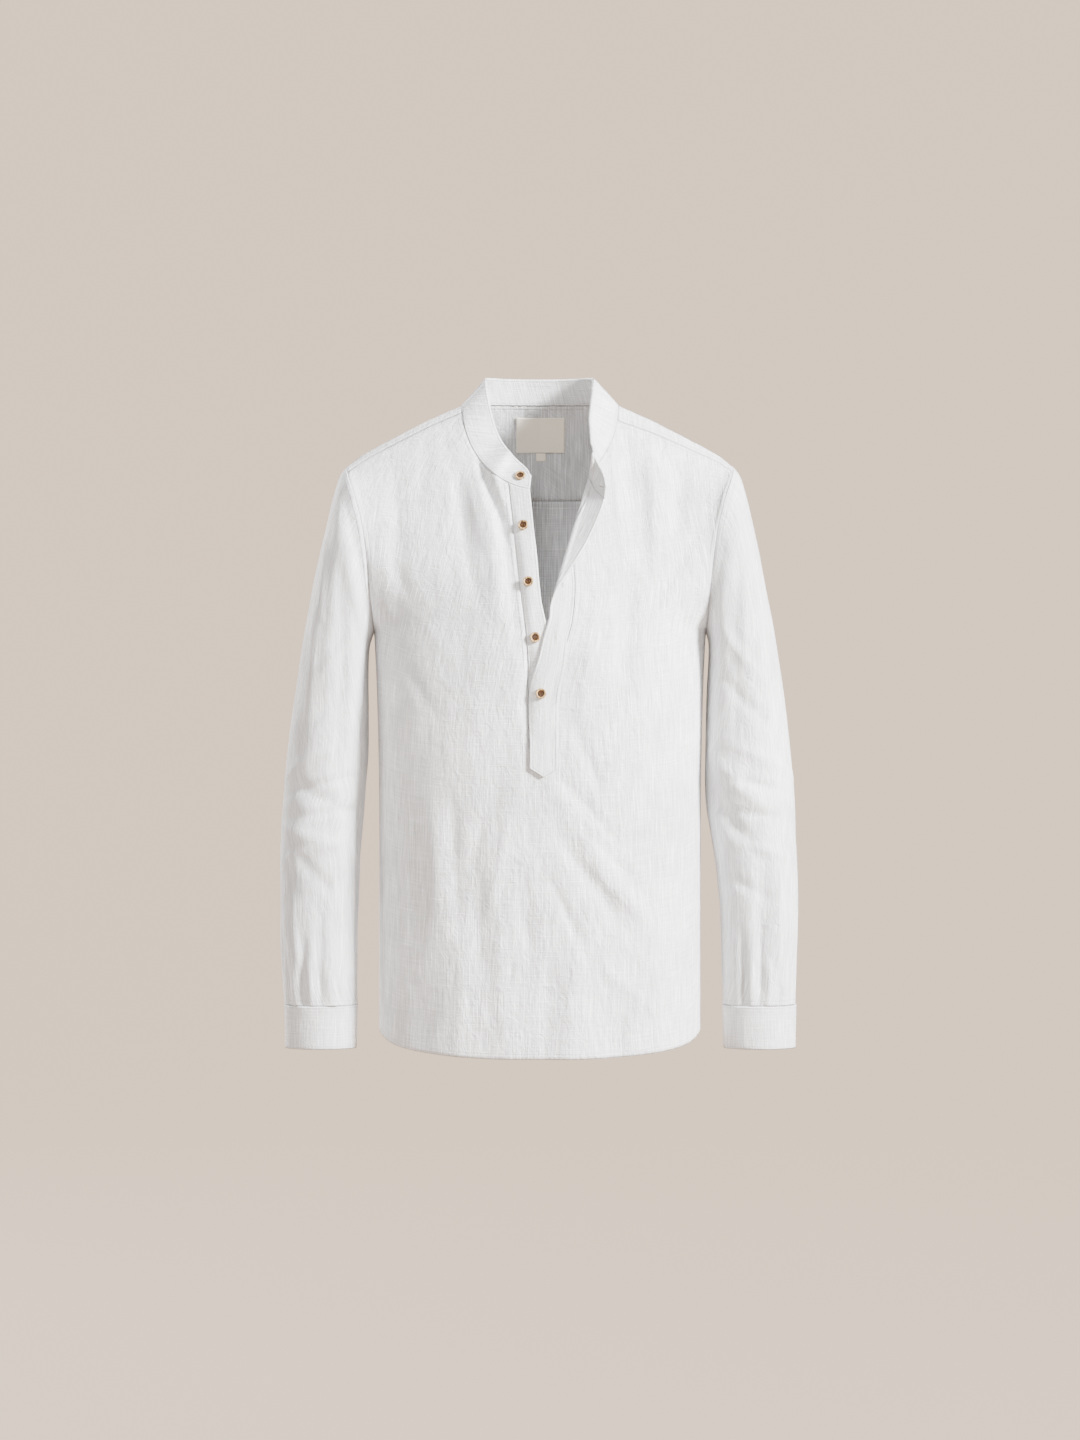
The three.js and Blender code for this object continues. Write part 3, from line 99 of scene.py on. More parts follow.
frontButtons = dict(button_2=(-17.4, -132), button_3=(-11.9, -192), button_4=(-5.0, -250.5))
topButtonAngle = -163.5
lowerButton = (1.2, -309)
neckLabel = dict(left=-26, right=27, top=-8, bottom=-45)
sizeTab = dict(left=-4.3, right=6.4, top=-45.4, bottom=-53.5)
labelInset = 1.95
bandHeight = 30


# Tables are written as text: the names of the columns, then the rows.
def table(text):
    names, *rows = text.strip().splitlines()
    return dict(zip(names.split(), np.array([row.split() for row in rows], float).T))


bodySections = table("""
z half front back
-700 171.5 110 110
-520 171.5 112 109
-400 172 114 108
-300 174.5 115 108
-240 177.5 114 110
-200 180.5 113 111
-160 184.5 112 112
-130 189 112 112
-100 196.5 112 112
-66 206.5 112 112
40 206.5 112 112
""")
shoulderLine = table("""
x z
0 40
20 37
40 29
60 18
83.5 0
100 -7.5
121 -17
163 -38.5
190 -53.5
206.5 -66
""")
underPlacket = table("""
z stitch free
-86 -33.6 -11.4
-124 -29.4 -7.7
-164 -25.1 -3.2
-212 -19.3 1.4
-249 -15 9
-304 -12.4 13
-362 -11.4 13.8
-700 -11.4 13.8
""")
overPlacket = table("""
z start turned radius slope spread
-60 62.5 48 5.2 0.14 0.45
-73 58.5 45 5 0.18 0.5
-100 49.6 38.8 4.6 0.3 0.67
-138 37.6 29.9 4 0.35 0.72
-169 28.1 18.8 3.6 0.35 0.75
-200 19 8 3.3 0.3 0.8
-232 9.5 1.5 3 0.2 0.8
-252 3.2 0 3 0 0.8
-304 -8.8 0 3 0 0.8
-320 -10.5 0 3 0 0.8
-357 -10.9 0 3 0 0.8
-700 -10.9 0 3 0 0.8
""")
collarRise = table("""
angle x y z
-172 1.5 9 15
-168 4 12 21
-156 10 16 25
-140 18 13 25
-120 25 9 23
-105 27 4 26
-90 26 0 28.5
-60 22 1.5 29
-30 11.7 -5.5 28
0 0 -9.5 27.5
30 -11.7 -5.5 28
60 -22 1.5 29
90 -27 0 28.5
105 -27 -3 26
115 -23.5 -8 23
124 -16 -20 20
131 -9 -27 17
140 1.6 -25 22
150 3 -9 26
160 5 -3 23
167 4 -3 19
171 2 -2 14
""")
bodyFolds = {}
bodyFolds["front"] = table("""
x1 z1 x2 z2 width height
-44 -82 -20 -265 7 -4
-58 -70 -42 -230 9 3
-80 -40 -72 -150 9 -2.6
-150 -80 -152 -220 12 -3.5
-165 -110 -160 -260 8 2.5
92 -30 104 -170 9 -3.2
118 -50 128 -150 10 2.6
150 -60 142 -150 11 -3.6
96 -190 84 -320 12 -3.6
-13 -270 -12 -352 6 -4.2
12 -405 104 -535 10 2.8
22 -460 92 -560 9 -3
-112 -430 -104 -565 12 3.2
-68 -485 -60 -600 11 -3.2
-18 -520 -12 -585 9 -2.6
84 -640 78 -700 14 -4.5
40 -560 30 -700 14 3
-120 -600 -128 -700 16 -3.5
""")
bodyFolds["back"] = table("""
x1 z1 x2 z2 width height
-140 -120 -96 -330 16 -4.2
140 -120 88 -350 16 -4.6
-100 -130 -52 -400 14 3.4
96 -140 60 -380 14 3
-30 -300 -44 -700 18 -4.4
48 -360 66 -700 18 -4
6 -330 12 -700 15 3.4
-104 -440 -96 -700 16 3.2
120 -470 126 -700 15 3
""")
sleeveRings = table("""
step outZ inZ mid outLeft inLeft frontLeft backLeft outRight inRight frontRight backRight
0 -66 -240 0 206.5 177.5 58 64 206.5 177.5 58 64
1 -77 -250 0 214 181 63 68 214 180.5 63 68
2 -100 -257 0 221 183 66 69 221 181.5 66 69
3 -132 -267 0 228.5 184 67 68 228.5 181.5 67 68
4 -170 -282 1 237 184.5 66 66 236.5 181 66 66
5 -212 -300 1 245.5 184.5 64 63 244.5 180 64 63
6 -256 -322 2 253 184 61 60 252 179 61 60
7 -300 -346 2 260 184 58 57 259 178 58 57
8 -344 -374 3 266 185 56 55 264.5 177.5 56 55
9 -386 -402 3 271 187 54 53 269 177.5 54 53
10 -424 -430 4 274 189 52.5 51.5 272 179 52 51
11 -458 -460 5 275.5 191.5 50.5 50 273.5 183.5 50 49.5
12 -492 -492 7 276.5 193.5 49 49 275 189 48.5 48.5
13 -526 -526 9 276.5 194.5 47.5 47.5 275.5 192.5 47 47
14 -560 -560 11 276 195.5 45.5 45.5 275 194.5 45.5 45.5
15 -592 -592 13 275 195.5 43.5 43.5 274 195.5 43.5 43.5
16 -620 -620 15 273.5 195.5 41 41 273.3 195.5 41 41
17 -640 -640 16 272 195.5 38 38 272.8 195.7 38 38
""")
sleeveFoldsLeft = table("""
angle1 z1 angle2 z2 width height
40 -160 62 -350 9 3
95 -200 112 -390 11 -3.6
30 -400 130 -432 9 -3.4
20 -450 120 -470 8 3
60 -480 110 -520 8 -2.8
70 -560 66 -650 6 -2.4
108 -575 112 -650 6 2.2
30 -570 34 -650 6 -2.2
""")
sleeveFoldsRight = table("""
angle1 z1 angle2 z2 width height
150 -372 70 -432 9 3.8
150 -412 96 -470 10 -4.4
40 -150 58 -330 10 3
96 -170 104 -360 12 -3.6
84 -486 92 -620 7 -3
60 -470 66 -610 7 2.6
120 -560 116 -650 6 -2.4
30 -580 30 -650 6 -2.2
""")
sleeveBackFolds = table("""
angle1 z1 angle2 z2 width height
-60 -380 -140 -420 10 3.2
-50 -430 -130 -455 9 -3.4
-70 -160 -100 -330 12 -3.6
-120 -580 -124 -650 6 -2.4
""")
sleeveFolds = dict(left=sleeveFoldsLeft, right=sleeveFoldsRight)
# Beside the front of an armhole the sleeve sinks in and rises again: ring step, width in steps, height.
seamHollows = dict(left=((1.1, 0.6, -3.2), (2.3, 0.7, 1.8)), right=((1.1, 0.6, -1.4), (2.2, 0.7, 0.8)))

# Smaller folds that only the fine surface shows, front and back.
softFolds = {}
softFolds["front"] = table("""
x1 z1 x2 z2 width height
-32 -96 -8 -292 4.2 -3.2
-76 -26 -36 -150 5.5 -6.4
-58 -44 -34 -120 4.2 4
-88 -34 -60 -150 7 2.6
-104 -20 -66 -210 7 -2.6
-96 -30 -92 -120 6 1.6
-122 -34 -128 -130 7 -1.6
-178 -120 -120 -250 7 -1.1
-172 -170 -96 -270 7 0.9
-176 -230 -110 -330 7 -1.8
-170 -300 -150 -420 7 1.8
74 -30 86 -140 5 2
108 -40 112 -180 6 -2.2
134 -50 138 -150 6 1.8
178 -120 112 -230 7 -2.6
172 -170 96 -270 7 2.2
176 -230 118 -330 8 -2.4
60 -210 44 -330 7 2
30 -330 72 -430 7 -2
18 -395 88 -470 6 -2.2
26 -430 110 -520 6 -2.4
34 -470 112 -548 6 2.2
8 -500 60 -600 6 -2.2
60 -590 116 -640 8 1.8
-40 -400 -86 -520 8 -1.8
-30 -440 -62 -560 7 1.8
-92 -420 -84 -560 6 -2
-130 -430 -126 -570 7 -2
-148 -470 -144 -640 6 1.8
-44 -560 -38 -680 8 2.2
-80 -590 -88 -690 9 2
10 -590 4 -690 8 -2
120 -560 128 -690 9 2.2
146 -470 150 -640 7 -1.8
154 -330 150 -460 8 -2
""")
softFolds["back"] = table("""
x1 z1 x2 z2 width height
-178 -130 -110 -250 8 -2.6
-170 -190 -90 -300 8 2.2
178 -130 116 -240 8 -2.4
172 -190 96 -310 8 2.2
-70 -105 -60 -240 7 1.8
72 -105 58 -230 7 -1.8
20 -105 26 -260 8 1.8
-24 -105 -20 -250 8 -1.8
-130 -360 -70 -470 8 2.2
-110 -400 -40 -500 8 -2.4
120 -380 50 -480 8 2.2
130 -430 40 -520 8 -2.4
-70 -520 -76 -690 8 2
30 -520 36 -690 8 2.2
92 -520 96 -690 8 -2.2
-140 -500 -146 -690 8 -2
148 -520 150 -690 8 2
""")
sleeveCreases = table("""
angle1 z1 angle2 z2 width height
20 -110 60 -230 6 1.8
60 -110 96 -250 7 -2.2
130 -230 60 -300 7 2
140 -280 50 -350 7 -2
120 -360 10 -400 6 2
140 -395 30 -415 5 -2.6
150 -430 50 -440 5 -2.4
130 -462 30 -486 6 2
140 -500 70 -530 6 -2
50 -520 56 -600 5 1.6
96 -530 90 -620 5 -2
20 -540 16 -630 5 -1.6
48 -596 50 -640 3.5 1.6
62 -600 62 -640 3.5 -1.8
78 -594 80 -640 3.5 1.6
92 -600 92 -640 3.5 -1.8
104 -596 104 -640 3.5 1.6
118 -602 120 -640 3.5 -1.6
-30 -120 -70 -260 8 -2.2
-60 -240 -130 -330 8 2
-20 -400 -110 -420 6 -2.4
-20 -440 -120 -470 6 2
-60 -500 -66 -630 6 -1.8
-130 -520 -134 -630 6 1.8
170 -480 172 -630 6 -1.8
-116 -600 -116 -640 3.5 1.6
-58 -600 -58 -640 3.5 -1.6
""")


# Curves and folds
def clip01(value):
    return np.clip(value, 0, 1)


def smooth(low, high, value):
    share = clip01((np.asarray(value, float) - low) / (high - low))
    return share * share * (3 - 2 * share)


def mix(a, b, share):
    return a + (b - a) * share


def signedPower(value, power):
    return np.sign(value) * np.abs(value) ** power


def together(*values):
    return np.broadcast_arrays(*(np.asarray(value, float) for value in values))


def unit(vectors):
    return vectors / np.maximum(np.linalg.norm(vectors, axis=-1, keepdims=True), 1e-9)


# Reads a column of a table where its first column has the given value, on a smooth curve through its rows.
def readTable(rows, column, at):
    keys, values = next(iter(rows.values())), rows[column]
    if keys[0] > keys[-1]:
        keys, values = keys[::-1], values[::-1]
    at = np.clip(at, keys[0], keys[-1])
    low = np.clip(np.searchsorted(keys, at, "left") - 1, 0, len(keys) - 2)
    before = np.maximum(np.arange(len(keys)) - 1, 0)
    after = np.minimum(np.arange(len(keys)) + 1, len(keys) - 1)
    slope = (values[after] - values[before]) / (keys[after] - keys[before])
    span = keys[low + 1] - keys[low]
    t = (at - keys[low]) / span
    rise = 3 * t**2 - 2 * t**3
    early = t**3 - 2 * t**2 + t
    late = t**3 - t**2
    lean = early * slope[low] + late * slope[low + 1]
    return mix(values[low], values[low + 1], rise) + lean * span


# Height of one fold at a place, as a rounded ridge round a line.
def foldHeight(u, v, u1, v1, u2, v2, width, height):
    alongU, alongV = u2 - u1, v2 - v1
    share = clip01(((u - u1) * alongU + (v - v1) * alongV) / (alongU**2 + alongV**2))
    distance = np.hypot(u - u1 - share * alongU, v - v1 - share * alongV)
    taper = 0.35 + 0.65 * np.sin(np.pi * share)
    return height * taper * np.exp(-((distance / width) ** 2))


# Slow unevenness of the cloth: a few crossing waves of seeded direction, length and phase.
def unevenness(u, v, seed, height):
    random = np.random.default_rng(seed)
    total = 0.0
    for length in (34, 42, 55, 70, 90, 120, 160):
        turn = random.uniform(0, np.pi)
        phase = random.uniform(0, 2 * np.pi)
        wave = (u * np.cos(turn) + v * np.sin(turn) * 0.6) * 2 * np.pi / length
        total = total + np.sin(wave + phase + 0.6 * np.sin(wave * 0.37 + phase)) * (length / 160) ** 0.6
    return total * height / 2.2


# Body
def halfWidth(z):
    return readTable(bodySections, "half", z)


def ridgeZ(x):
    return readTable(shoulderLine, "z", np.abs(x))


def capShare(side, below):
    height, power = capShape[side]
    share = clip01(below / height)
    return (1 - (1 - share) ** power) ** (1 / power)


# Depth of the armhole's oval at a height. Away from the armhole its ends run out softly.
def armholeDepth(side, z, share):
    middle = (shoulderZ + underarmZ) / 2
    half = (shoulderZ - underarmZ) / 2
    height = clip01(np.abs(z - middle) / half)
    softness = 1.3 * (1 - share**8) * smooth(0, -40, z - middle)
    return armholeReach[side] * (1 - height**armholePower) ** (1 / armholePower + softness)


# A point of the body's cloth, front or back, at x and z.
def bodyPoint(side, x, z):
    x, z = together(x, z)
    share = clip01(np.abs(x) / halfWidth(z))
    rounding = (1 - share**sectionPower) ** (1 / sectionPower)
    ridge = ridgeZ(x)
    cap = capShare(side, ridge - z)
    middle = readTable(bodySections, side, z) * cap
    carried = z - (ridge - shoulderZ) * smooth(-200, -20, z)
    edge = armholeDepth(side, carried, share)
    fold = unevenness(x, z, sideSeed[side], 0.9)
    for folds, gain in ((bodyFolds[side], bodyGain), (softFolds[side], softGain)):
        for row in zip(*folds.values()):
            fold = fold + gain * foldHeight(x, z, *row)
    fade = (1 - share**10) * smooth(0, 0.3, cap)
    y = sideSign[side] * (middle * rounding + edge * (1 - rounding) + fold * fade)
    return np.stack([x, y, z], -1)


# The right half of the front: the cloth left of the roll's start comes forward and lies back to the right.
def rolledFront(x, z):
    x, z = together(x, z)
    start, turned, radius, slope, spread = (
        readTable(overPlacket, key, z) for key in ("start", "turned", "radius", "slope", "spread")
    )
    past = start - x
    flat = (past <= 0) | (turned <= 0.01)
    past = np.where(flat, 0, past)
    turn = np.minimum(past / radius, np.pi)
    beyond = np.maximum(0, past - np.pi * radius)
    rolledX = np.where(flat, x, start - radius * np.sin(turn) + spread * beyond)
    rolledZ = np.where(flat, z, z - slope * past)
    forward = radius * (1 - np.cos(turn)) + np.sqrt(1 - spread**2) * beyond
    carrier = bodyPoint("front", rolledX, (z + rolledZ) / 2)
    return np.stack([rolledX, carrier[..., 1] - forward, rolledZ], -1)


# Moves a surface's points along its normals.
def raised(surface, u, v, amount, outward, step=0.5):
    return surface(u, v) + surfaceNormal(surface, u, v, outward, step) * np.asarray(amount)[..., None]


def surfaceNormal(surface, u, v, outward, step=1.5):
    alongU = surface(u + step, v) - surface(u - step, v)
    alongV = surface(u, v + step) - surface(u, v - step)
    normal = unit(np.cross(alongU, alongV))
    return normal * np.sign(normal @ np.array(outward, float))[..., None]


def underStitch(z):
    return readTable(underPlacket, "stitch", z)


def underFree(z):
    return readTable(underPlacket, "free", z)


def overFree(z):
    return readTable(overPlacket, "start", z) - readTable(overPlacket, "turned", z)


def overStitch(z):
    return overFree(z) + placketWidth


def hemZ(side, share):
    return sideHemZ - hemDrop[side] * (1 - 0.56 * share**2.5 - 0.44 * share**16)


# Neckline
def neckX(angle):
    return neckHalf * np.sin(np.radians(angle))


def neckZ(angle):
    rise = np.where(np.abs(angle) > 90, neckFrontDrop, neckBackRise)
    return rise * np.cos(np.radians(angle))


def neckPoint(angle):
    angle = np.asarray(angle, float)
    x, z = neckX(angle), neckZ(angle)
    ahead = np.where((angle > 90)[..., None], rolledFront(x, z), bodyPoint("front", x, z))
    return np.where((np.abs(angle) > 90)[..., None], ahead, bodyPoint("back", x, z))


def dropAt(hand, x):
    neck, armhole = seamDrop[hand]
    return mix(neck, armhole, clip01((np.abs(x) - neckHalf) / (shoulderX - neckHalf)))


def cornerAngle(hand):
    fromSide = 0.0
    for _ in range(8):
        x = neckHalf * math.cos(fromSide)
        fromSide = math.asin(float(dropAt(hand, x) - ridgeZ(x)) / neckFrontDrop)
    return 90 + math.degrees(fromSide)


def edgeAngle(edgeAt, angle):
    for _ in range(12):
        angle = 180 - math.degrees(math.asin(min(1, abs(float(edgeAt(neckZ(angle)))) / neckHalf)))
    return angle


corner = dict(left=cornerAngle("left"), right=cornerAngle("right"))
stitchAngle = dict(left=edgeAngle(underStitch, 156), right=edgeAngle(overStitch, 152))
freeAngle = dict(left=edgeAngle(underFree, 172), right=edgeAngle(overFree, 171))


# The front shoulder seam, from the neck (share 0) out to the armhole (share 1).
def seamSpot(hand, share):
    x = mix(neckHalf * math.sin(math.radians(corner[hand])), shoulderX, share)
    z = ridgeZ(x) - dropAt(hand, x)
    return np.where(share >= 1, halfWidth(z), x), z


# Sleeves
def ringPoint(hand, angle, step):
    named = [key + hand.capitalize() for key in ("out", "in", "front", "back")]
    outX, inX, front, back, outZ, inZ, mid = (
        readTable(sleeveRings, key, step) for key in (*named, "outZ", "inZ", "mid")
    )
    power = 2 / mix(armholePower, sleevePower, clip01(step / 4))
    up = signedPower(np.cos(angle), power)
    forward = signedPower(np.sin(angle), power)
    depth = np.where(forward > 0, front, back)
    x = mix(inX, outX, (1 + up) / 2)
    z = mix(inZ, outZ, (1 + up) / 2)
    return np.stack(np.broadcast_arrays(handSign[hand] * x, -depth * forward - mid, z), -1)


def ringMiddle(hand, step):
    return (ringPoint(hand, 0 * step, step) + ringPoint(hand, 0 * step + np.pi, step)) / 2


# Adds the folds to a ring's points, straight away from the ring's middle.
def sleevePoint(hand, angle, step):
    angle, step = together(angle, step)
    point = ringPoint(hand, angle, step)
    degrees = np.degrees(angle)
    z = point[..., 2]
    fold = unevenness(degrees * sleeveDegree, z, sleeveSeed[hand], 0.8) * smooth(0, 4, step)
    own, common = sleeveFolds[hand], sleeveBackFolds
    for folds, gain in ((own, sleeveGain), (common, sleeveGain), (sleeveCreases, softGain)):
        for angle1, z1, angle2, z2, width, height in zip(*folds.values()):
            turn = (degrees - angle1 + 540) % 360 - 180
            span = (angle2 - angle1) * sleeveDegree
            fold = fold + gain * foldHeight(turn * sleeveDegree, z, 0, z1, span, z2, width, height)
    fold = fold * smooth(0.5, 4, step)
    along = smooth(20, 50, degrees) * smooth(150, 115, degrees)
    for middle, width, height in seamHollows[hand]:
        fold = fold + along * height * smooth(0, 0.7, step) * np.exp(-(((step - middle) / width) ** 2))
    return point + unit(point - ringMiddle(hand, step)) * fold[..., None]


def cuffPoint(hand, degrees, z, rise):
    down = (cuffTopZ - z) / (cuffTopZ - cuffFootZ)
    step = np.full(np.broadcast(degrees, z).shape, sleeveRings["step"][-1])
    middle = ringMiddle(hand, step)
    away = ringPoint(hand, np.radians(degrees), step) - middle
    away[..., 2] = 0
    length = np.linalg.norm(away, axis=-1)
    reach = length * (1 - 0.03 * down) + rise
    point = middle + away * (reach / length)[..., None]
    point[..., 2] = z
    return point


def bandPoint(angle, share):
    rise = np.stack([readTable(collarRise, key, angle) for key in "xyz"], -1)
    bulge = 0.5 * np.sin(np.radians(np.asarray(angle) * 5 + 40)) * np.sin(np.pi * clip01(share))
    point = neckPoint(angle) + rise * np.asarray(share)[..., None]
    out = np.stack([np.sin(np.radians(angle)), np.cos(np.radians(angle)), 0 * np.asarray(angle, float)], -1)
    return point + out * bulge[..., None]


# Grids
# A piece is a grid of points on the middle of its cloth, columns by rows. The pieces that meet share a line
# of points.
shoulderColumns = 36
lowRows = 120
highRows = dict(front=72, back=58)


def sideHeights(side, top):
    low = np.linspace(sideHemZ, underarmZ, lowRows + 1)
    share = 1 - np.cos(np.pi / 2 * np.arange(1, highRows[side] + 1) / highRows[side])
    return np.concatenate([low, mix(underarmZ, top, share)])


turnedStrip = dict(width=20, step=1.25, low=160)


# One half of the front, from the slit's edge out to the side. The right one starts with the turned strip.
def frontHalf(hand):
    xs, zs, lows = [], [], []
    firstAngle, lowStart = stitchAngle[hand], 0.0
    if hand == "right":
        first = neckHalf * math.sin(math.radians(firstAngle))
        width, low = turnedStrip["width"], turnedStrip["low"]
        steps = np.arange(0, width, turnedStrip["step"])
        angles = 180 - np.degrees(np.arcsin((first + steps) / neckHalf))
        xs.append(neckX(angles))
        zs.append(neckZ(angles))
        lows.append(steps / low)
        firstAngle = 180 - math.degrees(math.asin((first + width) / neckHalf))
        lowStart = width / low
    neckAngles = np.linspace(firstAngle, corner[hand], 27)
    seamX, seamZ = seamSpot(hand, np.arange(1, shoulderColumns + 1) / shoulderColumns)
    xs += [neckX(neckAngles), seamX]
    zs += [neckZ(neckAngles), seamZ]
    free = len(neckAngles) + len(seamX) - 1
    lows.append(mix(lowStart, 1, np.sin(np.pi / 2 * np.arange(free + 1) / free)))
    topX, topZ, low = (np.concatenate(part)[:, None] for part in (xs, zs, lows))
    heights = sideHeights("front", float(topZ[-1, 0]))[None, :]

    def edgeAt(z):
        return -underStitch(z) if hand == "left" else overStitch(z)

    up = (heights - sideHemZ) / (topZ[-1, 0] - sideHemZ)
    z = mix(hemZ("front", low), topZ, up)
    highShare = (topX - edgeAt(topZ)) / (halfWidth(topZ) - edgeAt(topZ))
    share = mix(low, highShare, smooth(0.3, 1, up))
    x = mix(edgeAt(z), halfWidth(z), share)
    x[:, -1] = topX[:, 0]
    return bodyPoint("front", -x, z) if hand == "left" else rolledFront(x, z)


def frontGrid():
    left, right = frontHalf("left"), frontHalf("right")
    rows = left.shape[1]
    share = np.linspace(0, 1, 10)[1:-1, None]
    x = mix(left[0, :, 0], right[0, :, 0], share)
    z = mix(left[0, :, 2], right[0, :, 2], share)
    middle = bodyPoint("front", x, z)
    grid = np.concatenate([left[::-1], middle, right])
    slitRow = int(np.argmax(left[0, :, 2] > slitFootZ))
    mask = np.ones((len(grid) - 1, rows - 1), bool)
    mask[len(left) - 1 : len(left) + len(middle), slitRow - 1 :] = False
    return grid, mask


# The yoke runs over the shoulders from the front seams to the back seam. In front of the neck it is open.
def yokeGrid():
    frontRows, backRows, neckColumns = 9, 26, 56
    lines = []
    half = shoulderColumns + neckColumns // 2
    for column in range(-half, half + 1):
        hand = "left" if column < 0 else "right"
        sign = handSign[hand]
        shoulderStep = abs(column) - neckColumns // 2
        onShoulder = shoulderStep > 0
        backAngle = min(90, 90 * abs(column) / (neckColumns // 2))
        spotX, spotZ = seamSpot(hand, max(0, shoulderStep) / shoulderColumns)
        atArmhole = shoulderStep == shoulderColumns
        x = (shoulderX if atArmhole else float(spotX)) if onShoulder else float(neckX(backAngle))
        share = np.arange(frontRows) / frontRows
        if onShoulder:
            z = mix(ridgeZ(x), float(spotZ), (1 - share) ** 1.5)
            ahead = bodyPoint("front", sign * (halfWidth(z) if atArmhole else x + 0 * z), z)
        else:
            ahead = neckPoint(sign * mix(corner[hand], 90, share))
        topZ = float(ridgeZ(x)) if onShoulder else float(neckZ(backAngle))
        spread = math.sin(math.pi / 2 * abs(column) / half)
        share = np.arange(backRows + 1) / backRows
        z = mix(topZ, backSeamZ, share ** (1.7 if onShoulder else 1.25))
        topShare = x / float(halfWidth(topZ))
        across = mix(topShare, mix(topShare, spread, 0.7), share)
        lines.append(np.concatenate([ahead, bodyPoint("back", sign * across * halfWidth(z), z)]))
    grid = np.array(lines)
    mask = np.ones((len(grid) - 1, grid.shape[1] - 1), bool)
    mask[shoulderColumns : shoulderColumns + neckColumns, :frontRows] = False
    return grid, mask


def backGrid(yoke):
    seam = yoke[:, -1]
    half = (len(seam) - 1) / 2
    lowShare = np.sin(np.pi / 2 * (np.arange(len(seam)) - half) / half)[:, None]
    heights = sideHeights("back", backSeamZ)[None, :]
    up = (heights - sideHemZ) / (backSeamZ - sideHemZ)
    z = mix(hemZ("back", np.abs(lowShare)), backSeamZ, up)
    seamShare = seam[:, :1] / halfWidth(backSeamZ)
    share = mix(lowShare, seamShare, smooth(0.3, 1, up))
    grid = bodyPoint("back", share * halfWidth(z), z)
    grid[:, -1] = seam
    return grid


# A sleeve's first ring is the armhole: up the front, over the yoke's end and down the back.
def sleeveGrid(hand, front, yoke, back):
    end = 0 if hand == "left" else -1
    ring = np.concatenate([front[end, lowRows:], yoke[end, 1:], back[end, lowRows + 1 : -1][::-1]])
    middle, half = (shoulderZ + underarmZ) / 2, (shoulderZ - underarmZ) / 2
    height = np.clip((ring[:, 2] - middle) / half, -1, 1)
    angle = np.arccos(signedPower(height, armholePower / 2)) * np.where(ring[:, 1] > 0.01, -1, 1)
    step = np.linspace(0, sleeveRings["step"][-1], 171)[None, :]
    carry = (ring - ringPoint(hand, angle, 0 * angle))[:, None] * (1 - smooth(0, 4, step))[..., None]
    return sleevePoint(hand, angle[:, None], step) + carry


def cuffGrid(hand):
    share = np.linspace(0, 1, 110)[:, None]
    span = 360 + cuffLapDegrees
    z = np.linspace(cuffFootZ, cuffTopZ - 0.15, 18)[None, :]
    degrees = cuffOpeningDegrees + span * share + 0 * z
    wave = 0.5 * np.sin(np.radians(degrees * 5)) * (1 - (z - cuffFootZ) / 60)
    return cuffPoint(hand, degrees, z + 0 * degrees, cuffLapRise * smooth(315, 355, span * share) + wave)


def sleevePlacketGrid(hand):
    across = np.linspace(-1, 1, 13)[:, None]
    along = np.linspace(0, 1, 44)[None, :]
    z = cuffTopZ + 2 + (sleevePlacket["length"] - sleevePlacket["point"] * np.abs(across)) * along
    step = readTable(dict(z=sleeveRings["outZ"], step=sleeveRings["step"]), "step", z)
    halfDegrees = sleevePlacket["width"] / 2 / sleeveDegree
    angle = np.radians(sleevePlacket["degrees"] + across * halfDegrees) + 0 * z
    point = sleevePoint(hand, angle, step)
    away = point - ringMiddle(hand, step)
    away[..., 2] = 0
    return point + unit(away) * sleevePlacket["rise"]


def underPlacketGrid():
    share = np.linspace(0, 1, 12)[:, None]
    angle = -mix(stitchAngle["left"], freeAngle["left"], share)
    z = mix(slitFootZ, neckZ(angle), np.linspace(0, 1, 110)[None, :])
    x = mix(underStitch(z) + 0.6, underFree(z), share)
    x[:, -1] = neckX(angle)[:, 0]
    return bodyPoint("front", x, z)


def overPlacketPoint(x, z):
    fromEdge = smooth(0.45, 1.0, (x - overFree(z)) / placketWidth)
    rise = mix(lapRise, stitchedRise, fromEdge) * (1 - smooth(-240, -212, z))
    return raised(rolledFront, x, z, rise, (0, -1, 0))


def overPlacketGrid():
    share = np.linspace(0, 1, 33)[:, None]
    angle = mix(freeAngle["right"], stitchAngle["right"], share)
    foot = placketFootZ - placketTip * (1 - np.abs(2 * share - 1))
    z = mix(foot, neckZ(angle), np.linspace(0, 1, 130)[None, :])
    stitchX = overStitch(z) - 0.6 + lap * (1 - smooth(-285, -248, z))
    x = mix(overFree(z), stitchX, share)
    x[:, -1] = neckX(angle)[:, 0]
    return overPlacketPoint(x, z)


def collarGrid():
    left = np.linspace(-freeAngle["left"], -corner["left"], 50)
    right = np.linspace(corner["right"], freeAngle["right"], 64)
    angle = np.concatenate([left[:-1], np.linspace(-corner["left"], corner["right"], 90)[:-1], right])
    share = np.linspace(0, 1, 15)[None, :]
    return bandPoint(angle[:, None] + 0 * share, share + 0 * angle[:, None])


def labelGrid(place, columns, rows):
    x = np.linspace(place["left"], place["right"], columns)[:, None]
    z = np.linspace(place["bottom"], place["top"], rows)[None, :]
    x, z = together(x, z)
    return raised(partial(bodyPoint, "back"), x, z, -labelInset + 0 * x, (0, 1, 0))


# Meshes
def makeMesh(name, vertices, faces, material, smoothFaces=True):
    mesh = bpy.data.meshes.new(name)
    mesh.from_pydata([tuple(point) for point in np.asarray(vertices) * mm], [], [tuple(f) for f in faces])
    mesh.materials.append(material)
    mesh.polygons.foreach_set("use_smooth", [smoothFaces] * len(mesh.polygons))
    obj = bpy.data.objects.new(name, mesh)
    bpy.context.collection.objects.link(obj)
    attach(obj, "root")
    return obj


